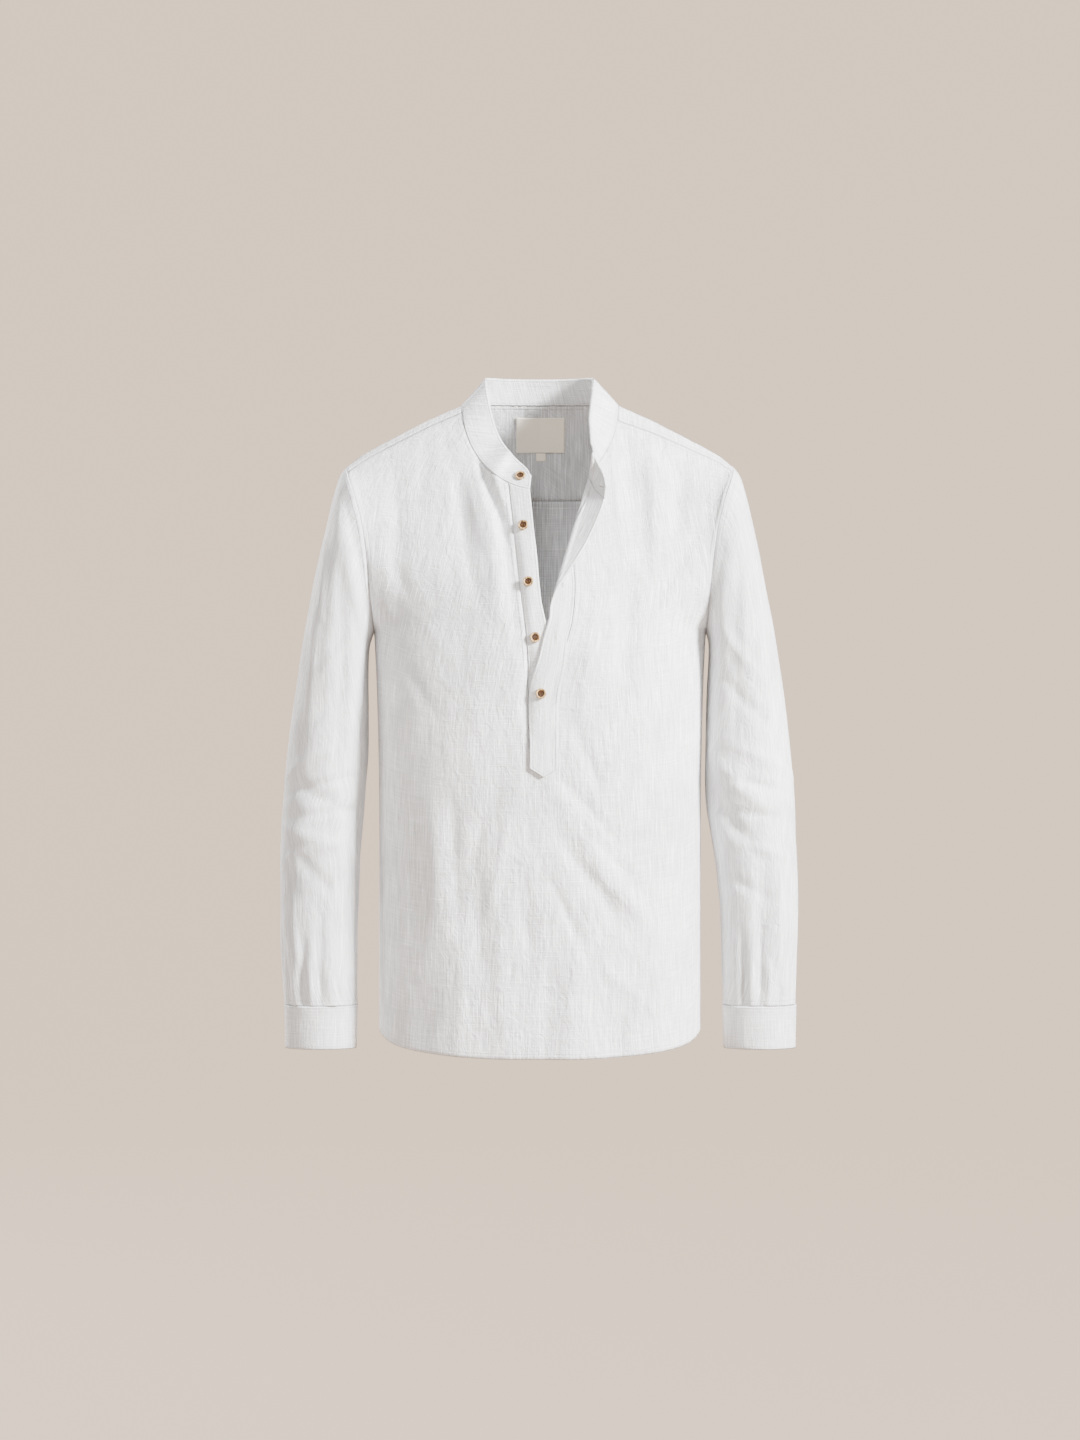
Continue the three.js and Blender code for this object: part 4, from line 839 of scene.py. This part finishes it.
def gridNormals(grid, closed):
    across = np.roll(grid, -1, 0) - np.roll(grid, 1, 0) if closed else np.gradient(grid, axis=0)
    return unit(np.cross(across, np.gradient(grid, axis=1)))


def pointTree(points, indices):
    tree = KDTree(len(indices))
    for index in indices:
        tree.insert(points[index], int(index))
    tree.balance()
    return tree


# The lines of points along a piece's free edges, each a loop in order.
def edgeLoops(faces):
    edges = np.concatenate([faces[:, [i, (i + 1) % 4]] for i in range(4)])
    forward = {tuple(edge) for edge in edges.tolist()}
    following = {a: b for a, b in forward if (b, a) not in forward}
    loops = []
    while following:
        start = next(iter(following))
        loop = [start]
        while loop[-1] in following:
            loop.append(following.pop(loop[-1]))
        loops.append(np.array(loop[:-1]))
    return loops


# Where pieces meet, their faces lean the same way, so that the seam closes.
def shareSeamNormals(drafts, reach=1.2):
    own = {name: draft["normals"].copy() for name, draft in drafts.items()}
    rims = {name: np.unique(np.concatenate(draft["loops"])) for name, draft in drafts.items()}
    trees = {name: pointTree(draft["points"], rims[name]) for name, draft in drafts.items()}
    for name, draft in drafts.items():
        for index in rims[name]:
            total = own[name][index].copy()
            for other, tree in trees.items():
                if other == name:
                    continue
                _, near, distance = tree.find(draft["points"][index])
                if distance < reach and own[other][near] @ own[name][index] > -0.2:
                    total += own[other][near]
            draft["normals"][index] = total / np.linalg.norm(total)


# The middle of one piece of cloth: its points, faces, normals and edges. The mask leaves faces out, a closed
# grid is a tube, and outside is 1 or -1, for the side of the grid that faces out.
def draftCloth(grid, mask=None, closed=False, outside=1):
    columns, rows = grid.shape[:2]
    spans = columns if closed else columns - 1
    if mask is None:
        mask = np.ones((spans, rows - 1), bool)
    column, row = np.nonzero(mask)
    after = (column + 1) % columns
    a, b = column * rows + row, after * rows + row
    faces = np.stack([a, b, b + 1, a + 1], 1)
    normals = gridNormals(grid, closed).reshape(-1, 3) * outside
    points, loops = grid.reshape(-1, 3), edgeLoops(faces)
    return dict(grid=grid, faces=faces, normals=normals, points=points, loops=loops, outside=outside)


farthestEdge = 16.0


# Makes one piece of cloth: an outer and an inner face joined along the edges. Its points carry the distance
# to the nearest edge, for the sewing and the painted shade along seam lines and edges that the material
# shows, and its UVs are lengths along the cloth.
def makeCloth(name, draft, thickness, material):
    grid, faces, normals = (draft[key] for key in ("grid", "faces", "normals"))
    points, loops, outside = (draft[key] for key in ("points", "loops", "outside"))
    depth = len(points)
    outer = faces if outside > 0 else faces[:, ::-1]
    inner = outer[:, ::-1] + depth
    rims = []
    for loop in loops:
        ahead = np.roll(loop, -1)
        rim = np.stack([ahead, loop, loop + depth, ahead + depth], 1)
        rims.append(rim if outside > 0 else rim[:, ::-1])
    allFaces = np.concatenate([outer, inner, *rims])
    layers = np.concatenate([points + normals * thickness / 2, points - normals * thickness / 2])
    used = np.unique(allFaces)
    renamed = np.full(2 * depth, -1)
    renamed[used] = np.arange(len(used))
    obj = makeMesh(name, layers[used], renamed[allFaces], material)
    edge = np.concatenate([points[loop] for loop in loops])
    edgeAhead = np.concatenate([points[np.roll(loop, -1)] for loop in loops])
    edge = np.concatenate([edge, (edge + edgeAhead) / 2])
    tree = pointTree(edge, range(len(edge)))
    distance = np.minimum([tree.find(point)[2] for point in points], farthestEdge)
    attribute = obj.data.attributes.new("edgeDistance", "FLOAT", "POINT")
    attribute.data.foreach_set("value", np.concatenate([distance, distance])[used].astype(np.float32))
    alongU = np.cumsum(np.linalg.norm(np.diff(grid, axis=0, prepend=grid[:1]), axis=-1), 0)
    alongV = np.cumsum(np.linalg.norm(np.diff(grid, axis=1, prepend=grid[:, :1]), axis=-1), 1)
    lengths = np.stack([alongU - alongU[len(alongU) // 2], alongV], -1).reshape(-1, 2)
    uv = np.concatenate([lengths, lengths])[used] * mm
    corners = np.zeros(len(obj.data.loops), int)
    obj.data.loops.foreach_get("vertex_index", corners)
    layer = obj.data.uv_layers.new(name="cloth")
    layer.data.foreach_set("uv", uv[corners].astype(np.float32).ravel())
    return obj


# Stitches
# A row of thread stitches runs along each edge, a fixed way in from it, on the outer and the inner face.
def addStitches(name, piece, draft, inset, thickness):
    points, normals, loops, outside = (draft[key] for key in ("points", "normals", "loops", "outside"))
    mesh = piece.data
    corners = [vertex.co / mm for vertex in mesh.vertices]
    tree = BVHTree.FromPolygons(corners, [tuple(face.vertices) for face in mesh.polygons])
    vertices, faces = [], []
    for loop in loops:
        line = points[loop]
        tangent = np.roll(line, -2, 0) - np.roll(line, 2, 0)
        path = line + unit(np.cross(normals[loop] * outside, tangent)) * inset
        path = np.concatenate([path, path[:1]])
        leans = np.concatenate([normals[loop], normals[loop][:1]])
        length = np.concatenate([[0], np.cumsum(np.linalg.norm(np.diff(path, axis=0), axis=1))])
        starts = np.arange(0, length[-1] - stitch["length"], stitch["pitch"])
        base = valuesAlong(path, length, starts)
        tip = valuesAlong(path, length, starts + stitch["length"])
        lean = valuesAlong(leans, length, starts)
        for face in (1, -1):
            for a, b, n in zip(base, tip, lean * face):
                addStitch(tree, Vector(a), Vector(b), Vector(n).normalized(), thickness, vertices, faces)
    return makeMesh(name, np.array(vertices), faces, materials["thread"])


def valuesAlong(values, length, at):
    return np.stack([np.interp(at, length, values[:, i]) for i in range(3)], 1)


# One stitch is a short spindle, half sunk into the cloth.
def addStitch(tree, a, b, normal, thickness, vertices, faces):
    spots = []
    for point in (a, b):
        place, faceNormal, _, distance = tree.find_nearest(point + normal * thickness)
        if place is None or distance > stitch["farthest"] or faceNormal.dot(normal) < 0.3:
            return
        spots.append(place + faceNormal * stitch["sink"])
    a, b = spots
    along = b - a
    if not stitch["shortest"] < along.length < stitch["longest"]:
        return
    side = along.cross(normal).normalized() * stitch["radius"]
    up = normal * stitch["radius"]
    middle = (a + b) / 2
    ring = (middle + up, middle + side, middle - up, middle - side)
    addSpindle(vertices, faces, (a - up * 0.6, *ring, b - up * 0.6))


# Eight faces from one end to four points round the middle and on to the other end.
def addSpindle(vertices, faces, points):
    first = len(vertices)
    vertices += [tuple(point) for point in points]
    for i in range(4):
        j = (i + 1) % 4
        faces.append((first, first + 1 + i, first + 1 + j))
        faces.append((first + 5, first + 1 + j, first + 1 + i))


# Shader nodes
# A value or vector in a material's node tree. Python's operators make the math nodes.
class Wire:
    def __init__(self, tree, socket):
        self.tree = tree
        self.socket = socket

    def node(self, kind, inputs, output=0, **settings):
        made = self.tree.nodes.new(kind)
        for key, value in settings.items():
            setattr(made, key, value)
        for key, value in inputs.items():
            if isinstance(value, Wire):
                self.tree.links.new(value.socket, made.inputs[key])
            else:
                made.inputs[key].default_value = value
        return Wire(self.tree, made.outputs[output])

    def math(self, operation, other=None):
        inputs = {0: self} if other is None else {0: self, 1: other}
        return self.node("ShaderNodeMath", inputs, operation=operation)

    def __add__(self, other):
        return self.math("ADD", other)

    def __sub__(self, other):
        return self.math("SUBTRACT", other)

    def __rsub__(self, other):
        return (self * -1) + other

    def __mul__(self, other):
        return self.math("MULTIPLY", other)

    __radd__ = __add__
    __rmul__ = __mul__

    def scaled(self, x, y, z=1.0):
        return self.node("ShaderNodeVectorMath", {0: self, 1: (x, y, z)}, operation="MULTIPLY")

    def noise(self, scale=1.0, detail=2.0, roughness=0.5, distortion=0.0):
        inputs = {"Vector": self, "Scale": scale, "Detail": detail, "Roughness": roughness}
        return self.node("ShaderNodeTexNoise", {**inputs, "Distortion": distortion})

    def steps(self, low, high):
        inputs = {"Value": self, "From Min": low, "From Max": high}
        return self.node("ShaderNodeMapRange", inputs, interpolation_type="SMOOTHSTEP")

    def part(self, index):
        return self.node("ShaderNodeSeparateXYZ", {0: self}, index)

    def mixed(self, low, high):
        return self.node("ShaderNodeMix", {0: self, 6: low, 7: high}, 2, data_type="RGBA")

    def tint(self, dark, light):
        return self.mixed((*dark, 1), (*light, 1))


# Starts a material and gives it, its shader node and the wires of its place, its UV and its edge's distance.
def newMaterial(name, **constants):
    material = bpy.data.materials.new(name)
    material.use_nodes = True
    shader = material.node_tree.nodes["Principled BSDF"]
    for key, value in constants.items():
        shader.inputs[key.replace("_", " ")].default_value = value
    start = Wire(material.node_tree, None)
    place = start.node("ShaderNodeTexCoord", {}, "Object")
    uv = start.node("ShaderNodeUVMap", {}, "UV", uv_map="cloth")
    edge = start.node("ShaderNodeAttribute", {}, "Fac", attribute_name="edgeDistance")
    return material, shader, place, uv, edge


def connect(shader, color, roughness, height=None):
    wires = {"Base Color": color, "Roughness": roughness}
    if height:
        wires["Normal"] = height.node("ShaderNodeBump", {"Height": height, "Strength": 1.0, "Distance": 1.0})
    for name, wire in wires.items():
        wire.tree.links.new(wire.socket, shader.inputs[name])


threadTurn = 2 * math.pi / 0.00085


# Linen: a plain weave with thick and thin threads both ways, a sunk seam line and soft crumples. The seam
# line and the last millimetre at each edge are also painted darker, as painted shade.
def linenMaterial(name, dark, light, seam, crumple=1.0):
    finish = dict(Sheen_Weight=0.25, Sheen_Roughness=0.5, Specular_IOR_Level=0.2)
    material, shader, place, uv, edge = newMaterial(name, **finish)
    warp = uv.scaled(900, 28).noise(detail=2)
    weft = uv.scaled(28, 900).noise(detail=2)
    slubUp = uv.scaled(700, 26).noise(detail=1).steps(0.52, 0.72)
    slubAcross = uv.scaled(26, 700).noise(detail=1).steps(0.56, 0.76)
    streak = uv.scaled(240, 10).noise(detail=2, roughness=0.6)
    weave = (uv.part(0) * threadTurn).math("SINE") * (uv.part(1) * threadTurn).math("SINE")
    cloud = place.noise(scale=9, detail=3)
    shade = 0.85 * warp + 0.42 * weft + 0.22 * slubUp + 0.12 * slubAcross
    shade = shade + 0.2 * streak + 0.36 * cloud - 0.45
    # The seam line's band darkens the colour below as painted shade in the groove, besides sinking it in the
    # height.
    seamGrooveAndShade = edge.steps(seam - 1.2, seam - 0.1) - edge.steps(seam + 0.1, seam + 1.4)
    # Within a millimetre of each edge the colour is painted 3% darker as painted shade between the pieces;
    # rim also rounds the edge in the height.
    rim = edge.steps(0.0, 1.0)
    color = ((shade - 0.08 * seamGrooveAndShade) * (0.97 + 0.03 * rim)).steps(0.2, 0.95).tint(dark, light)
    fold = place.scaled(42, 42, 18).noise(detail=3, roughness=0.55, distortion=0.6)
    fine = place.scaled(120, 120, 66).noise(detail=3, roughness=0.65, distortion=1.0)
    pucker = uv.scaled(140, 140).noise(detail=1) * (1 - edge.steps(seam, seam + 7))
    height = 0.00006 * weave + 0.00014 * (warp + weft) + 0.00016 * (slubUp + slubAcross)
    height = height + 0.0028 * crumple * fold + 0.0017 * crumple * fine + 0.0005 * pucker
    height = height - 0.00042 * seamGrooveAndShade - 0.0004 * (1 - rim) - 0.00025 * edge.steps(seam, seam + 1.5)
    connect(shader, color, 0.8 + 0.14 * weft, height)
    return material


def threadMaterial():
    material, shader, place, _, _ = newMaterial("thread", Sheen_Weight=0.2)
    twist = place.noise(scale=2400, detail=1)
    connect(shader, twist.tint((0.68, 0.67, 0.65), (0.9, 0.9, 0.88)), 0.6 + 0.2 * twist, 0.0001 * twist)
    return material


def labelMaterial():
    material, shader, _, uv, _ = newMaterial("label", Sheen_Weight=0.15)
    ribs = uv.scaled(60, 1500).noise(detail=1)
    threads = uv.scaled(1500, 60).noise(detail=1)
    color = (0.6 * ribs + 0.4 * threads).tint((0.95, 0.83, 0.64), (1.0, 0.96, 0.85))
    connect(shader, color, 0.6 + 0.2 * ribs, 0.00012 * ribs + 0.0001 * threads)
    return material


# Horn: a pale streaky rim round a dark brown middle, by the share of the radius in the button's UV.
def hornMaterial(name, pale, brown, deep):
    finish = dict(Specular_IOR_Level=0.2, Coat_Weight=0.05, Coat_Roughness=0.3)
    material, shader, place, uv, _ = newMaterial(name, **finish)
    streak = place.scaled(900, 900, 240).noise(detail=3, roughness=0.6)
    ring = (uv.part(0) + 0.16 * streak - 0.08).steps(0.58, 0.72)
    middle = streak.steps(0.3, 0.7).tint(deep, brown)
    rim = streak.steps(0.25, 0.75).tint(brown, pale)
    connect(shader, ring.mixed(middle, rim), 0.3 + 0.2 * streak, 0.00008 * streak)
    return material


def plainMaterial(name, dark, light, roughness):
    material, shader, place, _, _ = newMaterial(name, Specular_IOR_Level=0.2)
    cloud = place.noise(scale=300, detail=2)
    connect(shader, cloud.tint(dark, light), roughness + 0.05 * cloud)
    return material


# The backdrop glows a little, so that it stays as even as in the photo.
def backdropMaterial(surface, glow):
    color, emission = (*surface, 1), (*glow, 1)
    finish = dict(Base_Color=color, Roughness=0.95, Specular_IOR_Level=0.1)
    return newMaterial("backdrop", Emission_Color=emission, Emission_Strength=1.0, **finish)[0]


paleLinen = (0.968, 0.976, 0.99)
bodySeam, trimSeam = kinds["body"]["inset"], kinds["placket"]["inset"]
materials = dict(
    linen=linenMaterial("linen", (0.492, 0.497, 0.507), paleLinen, bodySeam),
    trim=linenMaterial("linen_trim", (0.512, 0.517, 0.527), paleLinen, trimSeam, crumple=0.45),
    thread=threadMaterial(),
    label=labelMaterial(),
    horn=hornMaterial("horn", (0.62, 0.42, 0.2), (0.07, 0.028, 0.008), (0.008, 0.004, 0.002)),
    buttonThread=plainMaterial("button_thread", (0.05, 0.028, 0.014), (0.09, 0.05, 0.026), 0.8),
    # The near-black hole look is painted shade, for the depth of a button's holes and of a buttonhole's
    # slit.
    hole=plainMaterial("button_hole_shade", (0.01, 0.006, 0.004), (0.02, 0.012, 0.008), 0.7),
    stage=backdropMaterial((0.04, 0.035, 0.03), (1.42, 1.08, 0.81)),
)


# Cloth pieces
frontPoints, frontMask = frontGrid()
yokePoints, yokeMask = yokeGrid()
backPoints = backGrid(yokePoints)
print("grids", frontPoints.shape, yokePoints.shape, backPoints.shape)

# The tab shows 9 mm, and 10 is the least that a sheet may state.
drafts = {}


def addPiece(name, grid, kind, outside=1, mask=None, closed=False):
    drafts[name] = dict(draftCloth(grid, mask, closed, outside), kind=kinds[kind])


addPiece("front", frontPoints, "body", mask=frontMask)
addPiece("yoke", yokePoints, "body", mask=yokeMask)
addPiece("back", backPoints, "body", outside=-1)
for hand, sign in handSign.items():
    sleeve = sleeveGrid(hand, frontPoints, yokePoints, backPoints)
    addPiece(f"sleeve_{hand}", sleeve, "body", outside=-sign, closed=True)
    addPiece(f"cuff_{hand}", cuffGrid(hand), "cuff", outside=-sign)
    addPiece(f"sleeve_placket_{hand}", sleevePlacketGrid(hand), "placket", outside=-sign)
addPiece("placket_under", underPlacketGrid(), "placket")
addPiece("placket_over", overPlacketGrid(), "placket")
addPiece("collar", collarGrid(), "band", outside=-1)
addPiece("neck_label", labelGrid(neckLabel, 40, 28), "label", outside=-1)
addPiece("size_tab", labelGrid(sizeTab, 10, 8), "tab", outside=-1)


shareSeamNormals(drafts)
for name, draft in drafts.items():
    kind = draft["kind"]
    obj = makeCloth(name + "_cloth", draft, kind["thickness"], materials[kind["look"]])
    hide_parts(name)
    "label" if kind["look"] == "label" else "linen"
    if kind["inset"]:
        sewing = addStitches(name + "_cloth_stitches", obj, draft, kind["inset"], kind["thickness"])
print("cloth done", len(drafts), "pieces")


# Buttons
# Places local millimetres on a surface: the local Z is the surface's normal.
def standing(point, normal):
    normal = Vector(normal).normalized()
    across = Vector((0, 0, 1)).cross(normal)
    if across.length < 0.1:
        across = Vector((1, 0, 0))
    across.normalize()
    up = normal.cross(across)
    return Matrix((across, up, normal)).transposed(), Vector(point)


# A profile of radii and heights, turned round the local Z and closed at both ends.
def turned(profile, segments):
    turn = np.linspace(0, 2 * np.pi, segments, endpoint=False)
    vertices = [(r * math.cos(t), r * math.sin(t), z) for r, z in profile for t in turn]
    faces = []
    for a in range(0, (len(profile) - 1) * segments, segments):
        for s in range(segments):
            t = (s + 1) % segments
            faces.append((a + s, a + t, a + segments + t, a + segments + s))
    faces.append(tuple(range(segments))[::-1])
    faces.append(tuple((len(profile) - 1) * segments + s for s in range(segments)))
    return vertices, faces


button = dict(radius=5.7, thickness=2.5, hole=0.75, spacing=1.55, gap=0.5)
buttonLooks = dict(horn=0, hole=1, thread=2)


# A bar of thread between two holes, bent over the middle: four sections of two points, above and below.
def threadBar(x, d, top):
    section = ((-d, -0.3), (-d * 0.5, 0.3), (d * 0.5, 0.3), (d, -0.3))
    bar = [(x + dx, y, top + lift) for y, lift in section for dx in (-0.32, 0.32)]
    bar += [(vx, vy, vz - 0.4) for vx, vy, vz in bar]
    faces = []
    for a in (0, 2, 4):
        faces += [(a, a + 1, a + 3, a + 2), (a + 8, a + 10, a + 11, a + 9)]
        faces += [(a, a + 2, a + 10, a + 8), (a + 1, a + 9, a + 11, a + 3)]
    return bar, faces + [(0, 8, 9, 1), (6, 7, 15, 14)]


def addButton(name, point, normal, halfCloth):
    r, t, d, hole = (button[key] for key in ("radius", "thickness", "spacing", "hole"))
    turn, origin = standing(point, normal)
    origin = origin + turn @ Vector((0, 0, halfCloth + button["gap"]))
    profile = [(0.01, 0.3), (2.5, 0.1), (r - 0.9, 0), (r - 0.3, 0.3), (r, 0.9), (r, t - 0.9)]
    profile += [(r - 0.35, t - 0.25), (r - 0.9, t), (r - 1.4, t - 0.1), (r - 2.0, t - 0.55)]
    profile += [(r - 2.7, t - 0.8), (0.01, t - 0.85)]
    parts = [(*turned(profile, 56), "horn")]
    # Each of the four holes is closed by a near-black plug: painted shade standing in for the dark depth of
    # the hole.
    holeShadePlug, holeShadePlugFaces = turned([(0.01, t - 1.4), (hole, t - 1.4), (hole, t - 0.8), (0.01, t - 0.79)], 16)
    for x, y in ((d, d), (-d, d), (-d, -d), (d, -d)):
        parts.append(([(vx + x, vy + y, vz) for vx, vy, vz in holeShadePlug], holeShadePlugFaces, "hole"))
    parts += [(*threadBar(x, d, t - 0.8), "thread") for x in (d, -d)]
    parts.append((*turned([(0.01, -0.7), (1.7, -0.7), (1.3, -0.2), (1.5, 0.4), (0.01, 0.4)], 14), "thread"))
    spots, faces, looks = [], [], []
    for partSpots, partFaces, look in parts:
        faces += [tuple(len(spots) + i for i in face) for face in partFaces]
        spots += [Vector(spot) for spot in partSpots]
        looks += [buttonLooks[look]] * len(partFaces)
    places = np.array([turn @ spot + origin for spot in spots])
    obj = makeMesh(name + "_horn", places, faces, materials["horn"])
    for extra in ("hole", "buttonThread"):
        obj.data.materials.append(materials[extra])
    obj.data.polygons.foreach_set("material_index", looks)
    layer = obj.data.uv_layers.new(name="cloth")
    for corner in obj.data.loops:
        spot = spots[corner.vertex_index]
        layer.data[corner.index].uv = (math.hypot(spot.x, spot.y) / r, math.atan2(spot.y, spot.x) / 6.28)
    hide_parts(name)


def buttonOn(name, surface, u, v, outward, halfCloth):
    u, v = np.array([float(u)]), np.array([float(v)])
    addButton(name, surface(u, v)[0], surfaceNormal(surface, u, v, outward, 3)[0], halfCloth)


def collarSpot(angle, height):
    return bandPoint(angle, height / bandHeight)


ahead = (0, -1, 0)
onBand, onPlacket, onCuff = (wall[key] / 2 for key in ("band", "placket", "cuff"))
buttonOn("button_1", collarSpot, topButtonAngle, 14, ahead, onBand)
for name, (x, z) in frontButtons.items():
    buttonOn(name, partial(bodyPoint, "front"), x, z, ahead, onPlacket)
buttonOn("button_5", overPlacketPoint, *lowerButton, ahead, onPlacket)
cuffMiddle = (cuffOpeningDegrees + 360 + cuffLapDegrees / 2, (cuffTopZ + cuffFootZ) / 2)
for hand in handSign:
    surface = partial(cuffPoint, hand, rise=cuffLapRise)
    buttonOn(f"cuff_button_{hand}", surface, *cuffMiddle, (0, 1, 0), onCuff)


# Buttonholes: a slit with close stitches round it, on both faces of the cloth. The slit is a near-black
# sheet, painted shade for the dark gap that the cut opens.
buttonhole = dict(length=14.0, width=2.6, thread=0.26, height=0.3, count=30, lift=0.12)
buttonhole |= dict(slit=0.22, slitLift=0.16)


def addButtonhole(name, surface, u, v, turnDegrees, halfCloth):
    u, v = np.array([float(u)]), np.array([float(v)])
    normal = Vector(surfaceNormal(surface, u, v, ahead, 2)[0])
    up = Vector((surface(u, v + 2) - surface(u, v - 2))[0]).normalized()
    side = normal.cross(up).normalized()
    turn = math.radians(turnDegrees)
    along = up * math.cos(turn) + side * math.sin(turn)
    across = side * math.cos(turn) - up * math.sin(turn)
    origin = Vector(surface(u, v)[0])
    vertices, faces, looks = [], [], []
    half, wide = buttonhole["length"] / 2, buttonhole["width"] / 2
    slit, count = buttonhole["slit"], buttonhole["count"]
    reach, thin = across * wide * 0.5, along * buttonhole["thread"]
    for face in (1, -1):
        high = normal * (buttonhole["height"] * face)
        lift = normal * (face * (halfCloth + buttonhole["lift"]))
        for edge in (-1, 1):
            for step in range(count):
                y = mix(-half, half, (step + 0.5) / count)
                middle = origin + along * y + across * (edge * wide * 0.55) + lift
                ring = (middle + thin, middle + high, middle - thin, middle - high)
                addSpindle(vertices, faces, (middle - reach, *ring, middle + reach))
                looks += [0] * 8
        # The slit's near-black quad is painted shade.
        corners = [len(vertices) + i for i in range(4)]
        lift = normal * (face * (halfCloth + buttonhole["slitLift"]))
        for y, x in ((-half + 1, 0), (0, slit), (half - 1, 0), (0, -slit)):
            vertices.append(tuple(origin + along * y + across * x + lift))
        faces.append(tuple(corners[::face]))
        looks.append(1)
    obj = makeMesh(name, np.array(vertices), faces, materials["thread"])
    obj.data.materials.append(materials["hole"])
    obj.data.polygons.foreach_set("material_index", looks)


halfPlacket = kinds["placket"]["thickness"] / 2
for index, (_, z) in enumerate(frontButtons.values()):
    middle = float(overFree(z)) + placketWidth / 2
    addButtonhole(f"buttonhole_{index + 2}", overPlacketPoint, middle, z, 0, halfPlacket)
addButtonhole("buttonhole_1", collarSpot, 166, 13, 90, kinds["band"]["thickness"] / 2)
print("buttons done")


# Stage, light and camera
floorZ, wallY, bend, halfRoom, topZ = -1.3, 6.2, 1.2, 7.0, 4.0
profile = [(-halfRoom, floorZ), (wallY - bend, floorZ)]
for step in range(1, 13):
    turn = math.pi / 2 * step / 12
    profile.append((wallY - bend + bend * math.sin(turn), floorZ + bend - bend * math.cos(turn)))
profile.append((wallY, topZ))
sweep = bpy.data.meshes.new("backdrop")
vertices = [(x, y, z) for y, z in profile for x in (-halfRoom, halfRoom)]
sweep.from_pydata(vertices, [], [(2 * i, 2 * i + 1, 2 * i + 3, 2 * i + 2) for i in range(len(profile) - 1)])
sweep.materials.append(materials["stage"])
backdrop = bpy.data.objects.new("backdrop", sweep)
bpy.context.collection.objects.link(backdrop)


def addLight(name, place, target, size, watts, color=(1, 1, 1)):
    data = bpy.data.lights.new(name, "AREA")
    data.size = size
    data.energy = watts
    data.color = color
    light = bpy.data.objects.new(name, data)
    light.location = place
    light.rotation_euler = (Vector(target) - Vector(place)).to_track_quat("-Z", "Y").to_euler()
    bpy.context.collection.objects.link(light)


addLight("key", (3.1, -2.2, 1.3), (0, 0, -0.3), 0.9, 1150, (1.0, 0.997, 0.99))
addLight("rim", (-3.5, -0.9, 0.5), (0, 0, -0.35), 0.9, 60)
addLight("front", (-0.3, -4.6, 0.5), (0, 0, -0.2), 0.8, 95)
addLight("top", (0.3, -0.8, 2.4), (0, 0, -0.2), 0.8, 50)
addLight("back", (-2.6, 3.4, 1.4), (0, 0, -0.3), 0.8, 520)
world = bpy.data.worlds.new("studio")
world.use_nodes = True
air = world.node_tree.nodes["Background"].inputs
air["Color"].default_value = (0.9, 0.9, 0.91, 1)
air["Strength"].default_value = 0.3
bpy.context.scene.world = world

camera = bpy.data.cameras.new("camera")
camera.lens = 104.94
camera.sensor_width = 36
eye = bpy.data.objects.new("camera", camera)
eye.location = (0, -4.5, -0.3366)
eye.rotation_euler = (math.pi / 2, 0, 0)
bpy.context.collection.objects.link(eye)
bpy.context.scene.camera = eye
